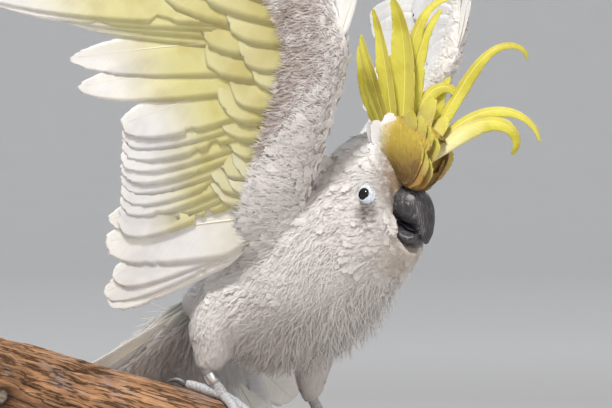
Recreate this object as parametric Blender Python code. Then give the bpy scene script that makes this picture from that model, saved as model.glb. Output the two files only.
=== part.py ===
"""A white cockatoo with raised wings and crest, standing on a cut length of branch.

Units are metres. +Z is up, +X is the way the bird faces and +Y is its left side.
The origin is the middle of the display base's underside.
"""
import math
import random

import bpy
import bmesh
import numpy as np
from mathutils import Vector
from mathutils.bvhtree import BVHTree

MODEL_NAME = "cockatoo_model"
GAP = 0.0003
SMALL = 0.00001
UP = Vector((0.0, 0.0, 1.0))
LEFT = Vector((0.0, 1.0, 0.0))

# The stand and the place of the feet above it.
BASE_SIZE = (0.240, 0.320, 0.018)
BASE_CORNER = 0.018
BASE_EDGE = 0.002
ROD_RADIUS = 0.006
ROD_PLACES = (-0.150, 0.030)
FEET_MIDDLE = Vector((0.010, 0.060, 0.135))

# The branch: points of its axis from the middle of the feet, and its radius.
BRANCH_AXIS = (
    (-0.092, -0.264, 0.0356),
    (-0.085, -0.198, 0.0207),
    (-0.059, -0.123, -0.0006),
    (-0.015, -0.040, -0.0274),
    (0.021, 0.039, -0.0516),
    (0.035, 0.069, -0.0608),
)
BRANCH_RADIUS = 0.039
BRANCH_RINGS = 17
BRANCH_SIDES = 20
BRANCH_RIDGE = 0.0016
KNOT_RADIUS = 0.012

# The body: back point (X, Z), breast point (X, Z) and half width of each section.
BODY_SECTIONS = (
    (-0.068, 0.094, -0.062, 0.073, 0.019),
    (-0.050, 0.107, -0.040, 0.060, 0.032),
    (-0.020, 0.124, -0.008, 0.043, 0.042),
    (0.015, 0.141, 0.028, 0.036, 0.049),
    (0.045, 0.156, 0.064, 0.046, 0.052),
    (0.067, 0.174, 0.098, 0.063, 0.051),
    (0.078, 0.191, 0.124, 0.086, 0.046),
    (0.086, 0.205, 0.144, 0.103, 0.037),
    (0.101, 0.215, 0.157, 0.115, 0.029),
    (0.124, 0.219, 0.163, 0.125, 0.0255),
    (0.142, 0.212, 0.157, 0.138, 0.023),
    (0.151, 0.200, 0.153, 0.152, 0.018),
    (0.154, 0.189, 0.153, 0.166, 0.0085),
)
BODY_SIDES = 24
RINGS_PER_SECTION = 2
NECK_START = 5.0
HEAD_START = 7.0
CUT_WIDTH = 0.02
# The face is hollowed by a ball, flattened across, where the bill is set in.
FACE_CENTRE = (0.168, 0.151)
FACE_RADIUS = 0.028
FACE_WIDTH = 0.72

# The eyes and their lids.
EYE_PLACE = (0.1335, 0.1695)
EYE_RADIUS = 0.0065
EYE_DEPTH = 0.0048
LID_RING = 0.0061
LID_THICKNESS = 0.0010

# The bill: top point (X, Z), bottom point (X, Z) and half width of each section.
UPPER_BILL = (
    (0.137, 0.176, 0.137, 0.153, 0.0134),
    (0.152, 0.1765, 0.152, 0.149, 0.0144),
    (0.162, 0.1755, 0.159, 0.1465, 0.0140),
    (0.170, 0.172, 0.1655, 0.1455, 0.0124),
    (0.176, 0.164, 0.170, 0.1435, 0.0100),
    (0.179, 0.153, 0.172, 0.140, 0.0072),
    (0.1788, 0.141, 0.1738, 0.1345, 0.0044),
    (0.1756, 0.1315, 0.1746, 0.1302, 0.0013),
)
LOWER_BILL = (
    (0.137, 0.1515, 0.137, 0.143, 0.0112),
    (0.149, 0.1470, 0.148, 0.1355, 0.0122),
    (0.156, 0.1425, 0.156, 0.1305, 0.0114),
    (0.162, 0.1395, 0.164, 0.1290, 0.0092),
    (0.1675, 0.1388, 0.1690, 0.1340, 0.0058),
)
TONGUE = (
    (0.147, 0.1498, 0.147, 0.1484, 0.0036),
    (0.155, 0.1476, 0.155, 0.1444, 0.0056),
    (0.159, 0.1453, 0.159, 0.1420, 0.0056),
    (0.163, 0.1436, 0.163, 0.1412, 0.0038),
)
BILL_SIDES = 14
NOSTRIL_PLACE = (0.1575, 0.0062, 0.1750)
NOSTRIL_RADIUS = 0.0014

# The crest: where its feathers root, front to back, and the pad of their shafts.
CREST_FRONT = (0.170, 0.196)
CREST_BACK = (0.132, 0.215)
CREST_PAD = (
    (0.118, 0.216, 0.124, 0.206, 0.006),
    (0.130, 0.222, 0.136, 0.200, 0.010),
    (0.146, 0.224, 0.147, 0.188, 0.012),
    (0.162, 0.219, 0.158, 0.180, 0.012),
    (0.175, 0.209, 0.168, 0.180, 0.009),
    (0.181, 0.200, 0.174, 0.186, 0.004),
)
# Each crest feather: place from front (0) to back (1), side step, bearing, rise at the
# root, rise at the tip, how late it curls, length and width. Angles are in degrees.
CREST_FEATHERS = (
    (0.00, 0.000, 38, 39, -137, 3.1, 0.097, 0.0190),
    (0.05, 0.003, 40, 48, -81, 2.1, 0.111, 0.0125),
    (0.15, 0.004, 40, 60, -84, 5.8, 0.129, 0.0130),
    (0.35, 0.002, 40, 82, -172, 3.3, 0.083, 0.0150),
    (0.30, 0.005, 44, 70, 50, 4.0, 0.062, 0.0190),
    (0.45, 0.003, 42, 88, 50, 2.5, 0.110, 0.0160),
    (0.50, 0.005, 40, 90, -5, 4.3, 0.130, 0.0155),
    (0.60, 0.000, 222, 94, 66, 2.8, 0.112, 0.0270),
    (0.68, 0.004, 60, 96, 70, 3.0, 0.092, 0.0160),
    (0.75, -0.002, 222, 84, 72, 3.1, 0.101, 0.0155),
    (0.85, -0.003, 222, 74, 76, 2.3, 0.081, 0.0150),
    (0.95, -0.004, 222, 70, 88, 3.3, 0.071, 0.0140),
)
CREST_STEPS = 8
CREST_ROLL = math.radians(56.0)
CREST_THICKNESS = 0.0008

# The wings. Places are (forward, up) in the wing's own plane from the shoulder.
SHOULDER = Vector((0.067, 0.044, 0.140))
ELBOW_ROOT = (-0.008, 0.060)
WRIST_ROOT = (0.050, 0.140)
HAND_ROOT = (0.036, 0.222)
# The arm's sections: height, rear edge, leading edge, half thickness and step inwards.
ARM_SECTIONS = (
    (-0.046, -0.044, -0.004, 0.0120, 0.034),
    (-0.020, -0.048, 0.006, 0.0140, 0.017),
    (0.006, -0.044, 0.014, 0.0130, 0.006),
    (0.034, -0.032, 0.025, 0.0115, 0.001),
    (0.058, -0.021, 0.036, 0.0105, 0.0),
    (0.086, 0.002, 0.048, 0.0095, 0.0),
    (0.114, 0.022, 0.058, 0.0085, 0.0),
    (0.140, 0.036, 0.066, 0.0080, 0.0),
    (0.166, 0.036, 0.061, 0.0070, 0.0),
    (0.196, 0.030, 0.051, 0.0060, 0.0),
    (0.226, 0.024, 0.041, 0.0035, 0.0),
)
ARM_SIDES = 10
LAYER = 0.0009
FIRST_SECONDARY = 5
FIRST_PRIMARY = 15
FEATHER_COUNT = 25
# Each inner feather: root forward, root up, angle, length and width.
TERTIALS = (
    (-0.014, 0.010, -22, 0.146, 0.030),
    (-0.014, 0.013, -20, 0.147, 0.032),
    (-0.014, 0.016, -17, 0.135, 0.034),
    (-0.012, 0.013, -4, 0.133, 0.044),
    (-0.012, 0.044, -10, 0.132, 0.030),
)
SECONDARY_LENGTH = (0.138, 0.176)
SECONDARY_ANGLE = (-20.0, -13.0)
SECONDARY_WIDTH = 0.041
PRIMARY_LENGTH = (0.206, 0.208, 0.226, 0.244, 0.262, 0.283, 0.290, 0.288, 0.275, 0.245)
PRIMARY_ANGLE = (-5, -1, 7, 6, 4, 0, 14, 26, 38, 50)
PRIMARY_BASE_WIDTH = 0.042
PRIMARY_END_WIDTH = 0.032
CAMBER = 0.45
CUP_EASE = 0.16
WING_POSES = {"right": (-1, 22.0, 8.0, 10.0), "left": (1, 30.0, 17.0, 24.0)}
VANE_THICKNESS = 0.00055
TIP_CROWDING = 1.5
# Each tier of coverts: how many, first and last place along the wing, how far its face
# lies from the flight feathers, its step forward, its share of their length, its width.
GREATER_COVERTS = (10, 5.5, 23.5, 0.0042, 0.005, 0.40, 0.030)
MEDIAN_COVERTS = (6, 6.0, 22.5, 0.0066, 0.010, 0.24, 0.034)
COVERT_PLACES = (5, 10, 15, 24)
COVERT_ANGLES = (-24, -20, -12, 38)
ALULA_ANGLES = (84, 98, 112)
ALULA_LENGTH = (0.058, 0.007)
ALULA_WIDTH = 0.014
ALULA_STEP = 0.004

# The tail fan.
TAIL_PIVOT = Vector((-0.068, 0.0, 0.082))
TAIL_DROP = math.radians(58.0)
TAIL_SPREAD = 57.0
TAIL_TURN = 4.0
TAIL_FEATHERS = 12
TAIL_LENGTH = 0.194
TAIL_WIDTH = 0.038
TAIL_LAYER = 0.0008
TAIL_BEND = 0.35
# The tail's fleshy root: distance from the pivot, half width and half height.
TAIL_CORE = ((-0.012, 0.014, 0.008), (0.010, 0.021, 0.010), (0.030, 0.026, 0.009), (0.048, 0.024, 0.006))
TAIL_CORE_SIDES = 8
# The tail's coverts above (1) and below (-1): face, length.
TAIL_COVER_LENGTHS = ((1, 0.085), (-1, 0.075))
TAIL_COVER_SPREAD = 40.0
TAIL_COVER_WIDTH = 0.030
TAIL_COVER_LIFT = 0.0065
TAIL_COVERTS = 5

# The legs: places from the middle of the feet.
LEGS = {
    "right": {"side": -1, "branch_y": -0.044, "roll": 16.0, "hip": (-0.002, -0.034, 0.090),
              "knee": (-0.007, -0.041, 0.064), "ankle": (-0.0090, -0.0490, 0.0335)},
    "left": {"side": 1, "branch_y": 0.038, "roll": 4.0, "hip": (0.016, 0.030, 0.088),
             "knee": (0.024, 0.038, 0.062), "ankle": (0.018, 0.040, 0.013)},
}
THIGH_RADII = (0.027, 0.0225, 0.0095)
TARSUS_RADIUS = 0.0044
TOE_RADIUS = 0.0039
# Each toe: bearing from straight ahead towards the outer side, and length.
TOES = ((8.0, 0.043), (-18.0, 0.032), (140.0, 0.031), (215.0, 0.026))
CLAW_LENGTH = 0.013
BAND_INNER = 0.0050
BAND_OUTER = 0.0058
BAND_HEIGHT = 0.0080
BAND_RISE = 0.0131


def feet(x, y, z):
    """A place given from the middle of the feet."""
    return FEET_MIDDLE + Vector((x, y, z))


def clear_scene():
    """Take every object out of the open file."""
    for thing in list(bpy.data.objects):
        bpy.data.objects.remove(thing, do_unlink=True)


def new_collection(name):
    """A collection linked to the scene."""
    group = bpy.data.collections.new(name)
    bpy.context.scene.collection.children.link(group)
    return group


def material(name, colour, roughness, metallic=0.0):
    """A Principled material in one plain colour."""
    finish = bpy.data.materials.new(name)
    finish.use_nodes = True
    shader = finish.node_tree.nodes["Principled BSDF"]
    shader.inputs["Base Color"].default_value = (*colour, 1.0)
    shader.inputs["Roughness"].default_value = roughness
    shader.inputs["Metallic"].default_value = metallic
    return finish


def object_from(bm, name):
    """Close a bmesh into a new object in the model's collection."""
    mesh = bpy.data.meshes.new(name)
    bm.to_mesh(mesh)
    bm.free()
    thing = bpy.data.objects.new(name, mesh)
    bpy.data.collections[MODEL_NAME].objects.link(thing)
    return thing


def evaluated_copy(thing):
    """The mesh of an object with its modifiers applied."""
    graph = bpy.context.evaluated_depsgraph_get()
    return bpy.data.meshes.new_from_object(thing.evaluated_get(graph))


def apply_modifiers(thing):
    """Replace an object's mesh by its evaluated one."""
    mesh = evaluated_copy(thing)
    thing.modifiers.clear()
    thing.data = mesh
    return thing


def fuse(pieces, name, solver="MANIFOLD"):
    """Join closed pieces into one body with a single union."""
    body = pieces[0]
    body.name = name
    body.data.name = name
    if len(pieces) > 1:
        others = new_collection(name + "_others")
        for piece in pieces[1:]:
            others.objects.link(piece)
        union = body.modifiers.new("join", "BOOLEAN")
        union.operation = "UNION"
        union.operand_type = "COLLECTION"
        union.collection = others
        union.solver = solver
        apply_modifiers(body)
        for piece in pieces[1:]:
            bpy.data.objects.remove(piece, do_unlink=True)
        bpy.data.collections.remove(others)
    return keep_largest(body)


def carve(body, cutters, solver="MANIFOLD"):
    """Cut each closed cutter out of a body, then remove the cutters."""
    for cutter in cutters:
        cutter.hide_render = True
        cutter.display_type = "WIRE"
        step = body.modifiers.new("carve", "BOOLEAN")
        step.operation = "DIFFERENCE"
        step.object = cutter
        step.solver = solver
        apply_modifiers(body)
        bpy.data.objects.remove(cutter, do_unlink=True)
    return keep_largest(body)


def shells(bm):
    """The face groups of a mesh that hang together."""
    waiting = set(bm.faces)
    groups = []
    while waiting:
        start = waiting.pop()
        group = [start]
        border = [start]
        while border:
            face = border.pop()
            for edge in face.edges:
                for other in edge.link_faces:
                    if other in waiting:
                        waiting.remove(other)
                        group.append(other)
                        border.append(other)
        groups.append(group)
    return groups


def shell_size(group):
    """The diagonal of the box round a face group."""
    places = np.array([vert.co for face in group for vert in face.verts])
    return float(np.linalg.norm(places.max(axis=0) - places.min(axis=0)))


def keep_largest(thing):
    """Keep only the largest closed surface of an object."""
    bm = bmesh.new()
    bm.from_mesh(thing.data)
    groups = shells(bm)
    groups.sort(key=shell_size, reverse=True)
    scraps = [face for group in groups[1:] for face in group]
    if scraps:
        bmesh.ops.delete(bm, geom=scraps, context="FACES")
    bm.to_mesh(thing.data)
    bm.free()
    return thing


def smooth_rows(rows, steps):
    """Rows of numbers with a smooth curve's rows between them."""
    table = np.array(rows, dtype=float)
    count = len(table)
    before = np.vstack([2 * table[0] - table[1], table, 2 * table[-1] - table[-2]])
    out = []
    for place in np.linspace(0.0, count - 1.0, (count - 1) * steps + 1):
        out.append(row_at(before, place))
    return out


def row_at(padded, place):
    """The row of a Catmull-Rom curve at a place along padded rows."""
    count = len(padded) - 2
    index = min(int(place), count - 2)
    t = place - index
    a, b, c, d = padded[index:index + 4]
    return 0.5 * (2 * b + (c - a) * t + (2 * a - 5 * b + 4 * c - d) * t * t
                  + (3 * b - a - 3 * c + d) * t ** 3)


def loft(rings, name):
    """A closed skin over rings of points, with a flat face at each end."""
    bm = bmesh.new()
    rows = [[bm.verts.new(point) for point in ring] for ring in rings]
    sides = len(rings[0])
    for low, high in zip(rows, rows[1:]):
        for k in range(sides):
            after = (k + 1) % sides
            bm.faces.new((low[k], low[after], high[after], high[k]))
    bm.faces.new(rows[0][::-1])
    bm.faces.new(rows[-1])
    bmesh.ops.recalc_face_normals(bm, faces=bm.faces)
    bmesh.ops.triangulate(bm, faces=bm.faces)
    return object_from(bm, name)


def profile_ring(row, sides, grow=0.0):
    """An ellipse between a back point and a breast point on the bird's middle plane."""
    top_x, top_z, low_x, low_z, half_width = row
    top = feet(top_x, 0.0, top_z)
    low = feet(low_x, 0.0, low_z)
    middle = (top + low) / 2
    rise = (top - low) / 2
    half_height = rise.length + grow
    rise.normalize()
    points = []
    for k in range(sides):
        angle = 2 * math.pi * k / sides
        across = LEFT * (math.sin(angle) * (half_width + grow))
        points.append(middle + rise * (math.cos(angle) * half_height) + across)
    return points


def profile_loft(rows, name, sides, steps=2, grow=0.0):
    """A loft through sections of the middle plane."""
    return loft([profile_ring(row, sides, grow) for row in smooth_rows(rows, steps)], name)


def tapered_tube(points, radii, name, sides=8):
    """A round tube through points, with its own radius at each."""
    curve = bpy.data.curves.new(name, "CURVE")
    curve.dimensions = "3D"
    curve.bevel_depth = 1.0
    curve.bevel_resolution = sides // 2 - 2
    curve.use_fill_caps = True
    spline = curve.splines.new("POLY")
    spline.points.add(len(points) - 1)
    for knot, point, radius in zip(spline.points, points, radii):
        knot.co = (*point, 1.0)
        knot.radius = radius
    tube = bpy.data.objects.new(name, curve)
    bpy.data.collections[MODEL_NAME].objects.link(tube)
    mesh = evaluated_copy(tube)
    bpy.data.objects.remove(tube, do_unlink=True)
    bm = bmesh.new()
    bm.from_mesh(mesh)
    bmesh.ops.remove_doubles(bm, verts=bm.verts, dist=SMALL)
    bmesh.ops.recalc_face_normals(bm, faces=bm.faces)
    bmesh.ops.triangulate(bm, faces=bm.faces)
    return object_from(bm, name)


def ball(centre, radius, name, segments=14, rings=9):
    """A sphere primitive moved to its place."""
    bm = bmesh.new()
    bmesh.ops.create_uvsphere(bm, u_segments=segments, v_segments=rings, radius=radius)
    bmesh.ops.translate(bm, verts=bm.verts, vec=centre)
    bmesh.ops.triangulate(bm, faces=bm.faces)
    return object_from(bm, name)


def vane(name, place, steps, thickness, outline, lead=0.4):
    """A feather's blade: a thin grid whose outline and place are given by functions.

    outline(t) is the blade's half-width factor at t from the root to the tip, and
    place(t, s) is the point at t along and s across, where s runs from -lead to 1 - lead.
    """
    bm = bmesh.new()
    bmesh.ops.create_grid(bm, x_segments=steps, y_segments=1, size=0.5)
    for vert in bm.verts:
        t = 1.0 - (0.5 - vert.co.x) ** TIP_CROWDING
        side = 1.0 - lead if vert.co.y > 0 else -lead
        vert.co = place(t, side * outline(t))
    bmesh.ops.triangulate(bm, faces=bm.faces)
    bmesh.ops.recalc_face_normals(bm, faces=bm.faces)
    bmesh.ops.solidify(bm, geom=bm.faces, thickness=thickness)
    bmesh.ops.recalc_face_normals(bm, faces=bm.faces)
    return object_from(bm, name)


def rounded_tip(t):
    """A broad blade with a round end and a narrower root."""
    root = min(1.0, 0.30 + 2.4 * t)
    return root * (1.0 - t ** 5) ** 0.5 + 0.06


def pointed_tip(t):
    """A long blade that draws in to a point over its last third."""
    root = min(1.0, 0.35 + 2.4 * t)
    return root * (1.0 - t ** 4.0) ** 0.70 + 0.05


def body_rows():
    """The padded sections of the whole body, for row_at."""
    table = np.array(BODY_SECTIONS, dtype=float)
    return np.vstack([2 * table[0] - table[1], table, 2 * table[-1] - table[-2]])


def body_length(name, start, end, grow=0.0):
    """The body's skin between two of its sections."""
    rows = body_rows()
    count = max(2, round((end - start) * RINGS_PER_SECTION) + 1)
    rings = []
    for place in np.linspace(start, end, count):
        rings.append(profile_ring(row_at(rows, place), BODY_SIDES, grow))
    return loft(rings, name)


def face_ball(shrink=0.0):
    """The ball that hollows the face round the bill."""
    centre = feet(FACE_CENTRE[0], 0.0, FACE_CENTRE[1])
    hollow = ball(centre, FACE_RADIUS - shrink, "face_ball", 18, 11)
    for vert in hollow.data.vertices:
        vert.co.y = centre.y + (vert.co.y - centre.y) * FACE_WIDTH
    return hollow


def whole_body_cutter():
    """The whole body grown by the gap, to trim what meets it."""
    body = body_length("body_cutter", 0.0, len(BODY_SECTIONS) - 1.0, GAP * 1.3)
    return carve(body, [face_ball(GAP * 2)])


def surface_point(thing, start, direction):
    """Where a ray first meets an object's mesh, and the way the surface faces there."""
    bm = bmesh.new()
    bm.from_mesh(thing.data)
    tree = BVHTree.FromBMesh(bm)
    bm.free()
    point, normal, _, _ = tree.ray_cast(start, direction)
    return point, normal


def make_torso_and_neck(white):
    """The trunk and the neck, parted by a thin cut."""
    torso = body_length("torso", 0.0, NECK_START)
    neck = body_length("neck", NECK_START + CUT_WIDTH, HEAD_START)
    for thing in (torso, neck):
        thing.data.materials.append(white)


def make_head(white, dark):
    """The head with eye sockets and raised lids, and the two eyes in it."""
    head = body_length("head", HEAD_START + CUT_WIDTH, len(BODY_SECTIONS) - 1.0)
    carve(head, [face_ball()])
    lids = []
    sockets = []
    for side, label in ((-1, "right"), (1, "left")):
        start = feet(EYE_PLACE[0], side * 0.08, EYE_PLACE[1])
        skin, facing = surface_point(head, start, LEFT * -side)
        facing = (facing + LEFT * side).normalized()
        centre = skin - facing * EYE_DEPTH
        lids.append(lid_ring(centre, facing))
        sockets.append(ball(centre, EYE_RADIUS + GAP, "socket_" + label, 12, 8))
        eye = ball(centre, EYE_RADIUS, "eye_" + label, 12, 8)
        eye.data.materials.append(dark)
    head = fuse([head] + lids, "head")
    carve(head, sockets)
    head.data.materials.append(white)


def lid_ring(centre, facing):
    """The thick rim of the two lids round an eye."""
    reach = EYE_RADIUS + GAP + LID_THICKNESS
    forward = math.sqrt(reach ** 2 - LID_RING ** 2)
    turn = facing.to_track_quat("Z", "Y")
    bpy.ops.mesh.primitive_torus_add(major_segments=14, minor_segments=5,
                                     major_radius=LID_RING, minor_radius=LID_THICKNESS)
    ring = bpy.context.object
    for vert in ring.data.vertices:
        vert.co = turn @ vert.co + centre + facing * (forward + SMALL)
    for group in list(ring.users_collection):
        group.objects.unlink(ring)
    bpy.data.collections[MODEL_NAME].objects.link(ring)
    return ring


def make_bill(horn):
    """The hooked upper bill with nostrils, the lower bill and the tongue."""
    upper = profile_loft(UPPER_BILL, "bill_upper", BILL_SIDES)
    x, y, z = NOSTRIL_PLACE
    pits = [ball(feet(x, side * y, z), NOSTRIL_RADIUS, "nostril", 8, 6) for side in (-1, 1)]
    carve(upper, [whole_body_cutter()] + pits)
    lower = profile_loft(LOWER_BILL, "bill_lower", BILL_SIDES)
    carve(lower, [whole_body_cutter()])
    tongue = profile_loft(TONGUE, "tongue", 8, 1)
    carve(tongue, [whole_body_cutter()])
    for thing in (upper, lower, tongue):
        thing.data.materials.append(horn)


def crest_line(place):
    """A point on the line of the crest's roots, from front (0) to back (1)."""
    x = CREST_FRONT[0] + place * (CREST_BACK[0] - CREST_FRONT[0])
    z = CREST_FRONT[1] + place * (CREST_BACK[1] - CREST_FRONT[1])
    return feet(x, 0.0, z)


def crest_feather(name, row):
    """One crest feather: a blade that rises, then curls over towards its tip."""
    place, step, bearing, rise, fall, lateness, length, width = row
    root = crest_line(place) + LEFT * step
    heading = math.radians(bearing)
    ahead = Vector((math.cos(heading), math.sin(heading), 0.0))
    aside = Vector((-math.sin(heading), math.cos(heading), 0.0))
    fine = 6 * CREST_STEPS
    line = [root]
    widths = []
    for k in range(fine + 1):
        angle = math.radians(rise + (fall - rise) * ((k + 0.5) / fine) ** lateness)
        line.append(line[-1] + (ahead * math.cos(angle) + UP * math.sin(angle)) * length / fine)
        normal = UP * math.cos(angle) - ahead * math.sin(angle)
        widths.append(aside * math.cos(CREST_ROLL) + normal * math.sin(CREST_ROLL))

    def spot(t, s):
        k = round(t * fine)
        return line[k] + widths[k] * (s * width)

    return vane(name, spot, CREST_STEPS, CREST_THICKNESS, crest_outline, 0.5)


def crest_outline(t):
    """Widest in the lower half, drawn in at the root and to a blunt tip."""
    return (0.62 + 0.38 * math.sin(math.pi * min(1.0, 1.25 * t))) * (1 - t ** 4) ** 0.6 + 0.08


def make_crest(yellow):
    """The raised crest, feather by feather, on the pad of its shafts."""
    pieces = [profile_loft(CREST_PAD, "crest", 10, 1)]
    for k, row in enumerate(CREST_FEATHERS):
        pieces.append(crest_feather(f"crest_feather_{k}", row))
    crest = fuse(pieces, "crest")
    carve(crest, [whole_body_cutter(), bill_cutter()])
    crest.data.materials.append(yellow)


def bill_cutter():
    """The upper bill grown by the gap."""
    return profile_loft(UPPER_BILL, "bill_cutter", BILL_SIDES, 2, GAP * 1.3)


class WingPlane:
    """The plane of a raised wing: back along the chord, up along the span, under outwards."""

    def __init__(self, side, swing, lean, cup):
        swing = math.radians(swing)
        lean = math.radians(lean)
        self.cup = math.tan(math.radians(cup))
        outward = Vector((math.sin(swing), side * math.cos(swing), 0.0))
        self.back = Vector((-math.cos(swing), side * math.sin(swing), 0.0))
        self.up = UP * math.cos(lean) + outward * math.sin(lean)
        self.under = outward * math.cos(lean) - UP * math.sin(lean)
        self.origin = FEET_MIDDLE + Vector((SHOULDER.x, side * SHOULDER.y, SHOULDER.z))

    def point(self, forward, up, under):
        """A place in the wing, bent towards the underside well behind the arm."""
        trail = max(0.0, -forward - 0.02)
        past_wrist = max(0.0, up - WRIST_ROOT[1])
        bend = under + CAMBER * trail * trail - self.cup * past_wrist ** 2 / (past_wrist + CUP_EASE)
        return self.origin - self.back * forward + self.up * up + self.under * bend


def span_place(up):
    """Which feather's layer belongs to a height in the wing, as a number of layers."""
    return float(np.interp(up, (-0.01, 0.034, 0.060, 0.140, 0.222), (0, 4, 5, 14.5, 24)))


def root_line(place):
    """The root of a feather, as forward and up, from its number along the wing."""
    if place >= FIRST_PRIMARY:
        t = (place - FIRST_PRIMARY + 0.5) / (FEATHER_COUNT - FIRST_PRIMARY)
        low, high = WRIST_ROOT, HAND_ROOT
    else:
        t = (place - FIRST_SECONDARY + 0.5) / (FIRST_PRIMARY - FIRST_SECONDARY)
        low, high = ELBOW_ROOT, WRIST_ROOT
    return (low[0] + t * (high[0] - low[0]), low[1] + t * (high[1] - low[1]))


def feather_shape(number):
    """Root, angle, length, width and outline of the flight feather of that number."""
    if number < FIRST_SECONDARY:
        forward, up, angle, length, width = TERTIALS[number]
        return (forward, up), angle, length, width, rounded_tip
    root = root_line(number)
    if number < FIRST_PRIMARY:
        t = (number - FIRST_SECONDARY) / (FIRST_PRIMARY - FIRST_SECONDARY - 1)
        angle = SECONDARY_ANGLE[0] + t * (SECONDARY_ANGLE[1] - SECONDARY_ANGLE[0])
        length = SECONDARY_LENGTH[0] + t * (SECONDARY_LENGTH[1] - SECONDARY_LENGTH[0])
        return root, angle, length, SECONDARY_WIDTH, rounded_tip
    order = number - FIRST_PRIMARY
    t = order / (FEATHER_COUNT - FIRST_PRIMARY - 1)
    width = PRIMARY_BASE_WIDTH + t * (PRIMARY_END_WIDTH - PRIMARY_BASE_WIDTH)
    return root, PRIMARY_ANGLE[order], PRIMARY_LENGTH[order], width, pointed_tip


def wing_vane(plane, name, root, angle, length, width, layer, outline, steps=4, droop=0.0):
    """One feather of a wing, flat in its own layer and swept a little at the tip."""
    turn = math.radians(angle)

    def spot(t, s):
        along = length * t
        across = s * width + droop * t * t
        forward = root[0] - math.cos(turn) * along - math.sin(turn) * across
        up = root[1] + math.sin(turn) * along - math.cos(turn) * across
        return plane.point(forward, up, layer)

    return vane(name, spot, steps, VANE_THICKNESS, outline, 0.36)


def arm_core(plane, name):
    """The feathered arm and the web of skin in front of the elbow."""
    rings = []
    for up, rear, lead, half, inwards in ARM_SECTIONS:
        middle = (rear + lead) / 2
        reach = (lead - rear) / 2
        layer = span_place(up) * LAYER - inwards
        ring = []
        for k in range(ARM_SIDES):
            angle = 2 * math.pi * k / ARM_SIDES
            place = plane.point(middle + reach * math.cos(angle), up, layer + half * math.sin(angle))
            ring.append(place)
        rings.append(ring)
    return loft(rings, name)


def coverts(plane, name, tier, face):
    """A tier of coverts on the upper (-1) or under (+1) face of the wing."""
    count, first, last, offset, step_in, share, width = tier
    pieces = []
    for k in range(count):
        place = first + (last - first) * k / (count - 1)
        forward, up = root_line(place)
        full = feather_shape(min(FEATHER_COUNT - 1, round(place)))[2]
        angle = float(np.interp(place, COVERT_PLACES, COVERT_ANGLES))
        root = (forward + step_in, up + 0.2 * step_in)
        layer = place * LAYER + face * offset
        pieces.append(wing_vane(plane, f"{name}_{k}", root, angle, share * full, width, layer,
                                rounded_tip, 3))
    return pieces


def make_wing(label, white):
    """One raised wing: arm, flight feathers, two tiers of coverts a face, and alula."""
    plane = WingPlane(*WING_POSES[label])
    name = "wing_" + label
    pieces = [arm_core(plane, name)]
    for number in range(FEATHER_COUNT):
        root, angle, length, width, outline = feather_shape(number)
        droop = 0.010 if number != 20 else -0.012
        piece = wing_vane(plane, f"{name}_{number}", root, angle, length, width,
                          number * LAYER, outline, 4, droop)
        pieces.append(piece)
    for face in (-1, 1):
        pieces += coverts(plane, f"{name}_greater_{face}", GREATER_COVERTS, face)
        pieces += coverts(plane, f"{name}_median_{face}", MEDIAN_COVERTS, face)
    for k, angle in enumerate(ALULA_ANGLES):
        root = (WRIST_ROOT[0] + 0.006, WRIST_ROOT[1] + ALULA_STEP * k)
        length = ALULA_LENGTH[0] - ALULA_LENGTH[1] * k
        pieces.append(wing_vane(plane, f"{name}_alula_{k}", root, angle, length, ALULA_WIDTH,
                                (FIRST_PRIMARY + k) * LAYER, pointed_tip, 3))
    wing = fuse(pieces, name)
    carve(wing, [whole_body_cutter()])
    wing.data.materials.append(white)


def make_tail(white):
    """The spread tail: twelve feathers, with coverts above and below the root."""
    down = Vector((-math.cos(TAIL_DROP), 0.0, -math.sin(TAIL_DROP)))
    above = Vector((-math.sin(TAIL_DROP), 0.0, math.cos(TAIL_DROP)))
    pivot = FEET_MIDDLE + TAIL_PIVOT

    def tail_vane(name, fan, length, width, layer, outline, steps):
        angle = math.radians(fan)
        along = down * math.cos(angle) + LEFT * math.sin(angle)
        across = LEFT * math.cos(angle) - down * math.sin(angle)

        def spot(t, s):
            reach = length * t
            drop = TAIL_BEND * (reach * math.cos(angle)) ** 2
            return pivot + along * reach + across * (s * width) + above * (layer - drop)

        return vane(name, spot, steps, VANE_THICKNESS, outline, 0.5)

    pieces = [tail_core(pivot, down, above)]
    for k in range(TAIL_FEATHERS):
        fan = TAIL_TURN - TAIL_SPREAD + 2 * TAIL_SPREAD * k / (TAIL_FEATHERS - 1)
        order = abs(k - (TAIL_FEATHERS - 1) / 2) + (0.4 if k >= TAIL_FEATHERS / 2 else 0.0)
        length = TAIL_LENGTH - 0.0012 * order
        layer = (TAIL_FEATHERS / 4 - order) * TAIL_LAYER
        pieces.append(tail_vane(f"tail_{k}", fan, length, TAIL_WIDTH, layer, tail_outline, 5))
    for face, cover_length in TAIL_COVER_LENGTHS:
        for k in range(TAIL_COVERTS):
            fan = TAIL_TURN - TAIL_COVER_SPREAD + 2 * TAIL_COVER_SPREAD * k / (TAIL_COVERTS - 1)
            order = abs(k - (TAIL_COVERTS - 1) / 2) + (0.3 if k > TAIL_COVERTS // 2 else 0.0)
            layer = face * (TAIL_COVER_LIFT - order * TAIL_LAYER)
            pieces.append(tail_vane(f"tail_cover_{face}_{k}", fan, cover_length, TAIL_COVER_WIDTH,
                                    layer, rounded_tip, 3))
    tail = fuse(pieces, "tail")
    carve(tail, [whole_body_cutter()])
    tail.data.materials.append(white)


def tail_core(pivot, down, above):
    """The fleshy root of the tail."""
    rings = []
    for reach, half_width, half_height in TAIL_CORE:
        ring = []
        for k in range(TAIL_CORE_SIDES):
            angle = 2 * math.pi * k / TAIL_CORE_SIDES
            side = LEFT * (half_width * math.cos(angle))
            ring.append(pivot + down * reach + side + above * (half_height * math.sin(angle)))
        rings.append(ring)
    return loft(rings, "tail")


def tail_outline(t):
    """Narrow at the root, broad and round at the end."""
    return min(1.0, 0.22 + 1.1 * t) * (1.0 - t ** 7) ** 0.5 + 0.08


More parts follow.
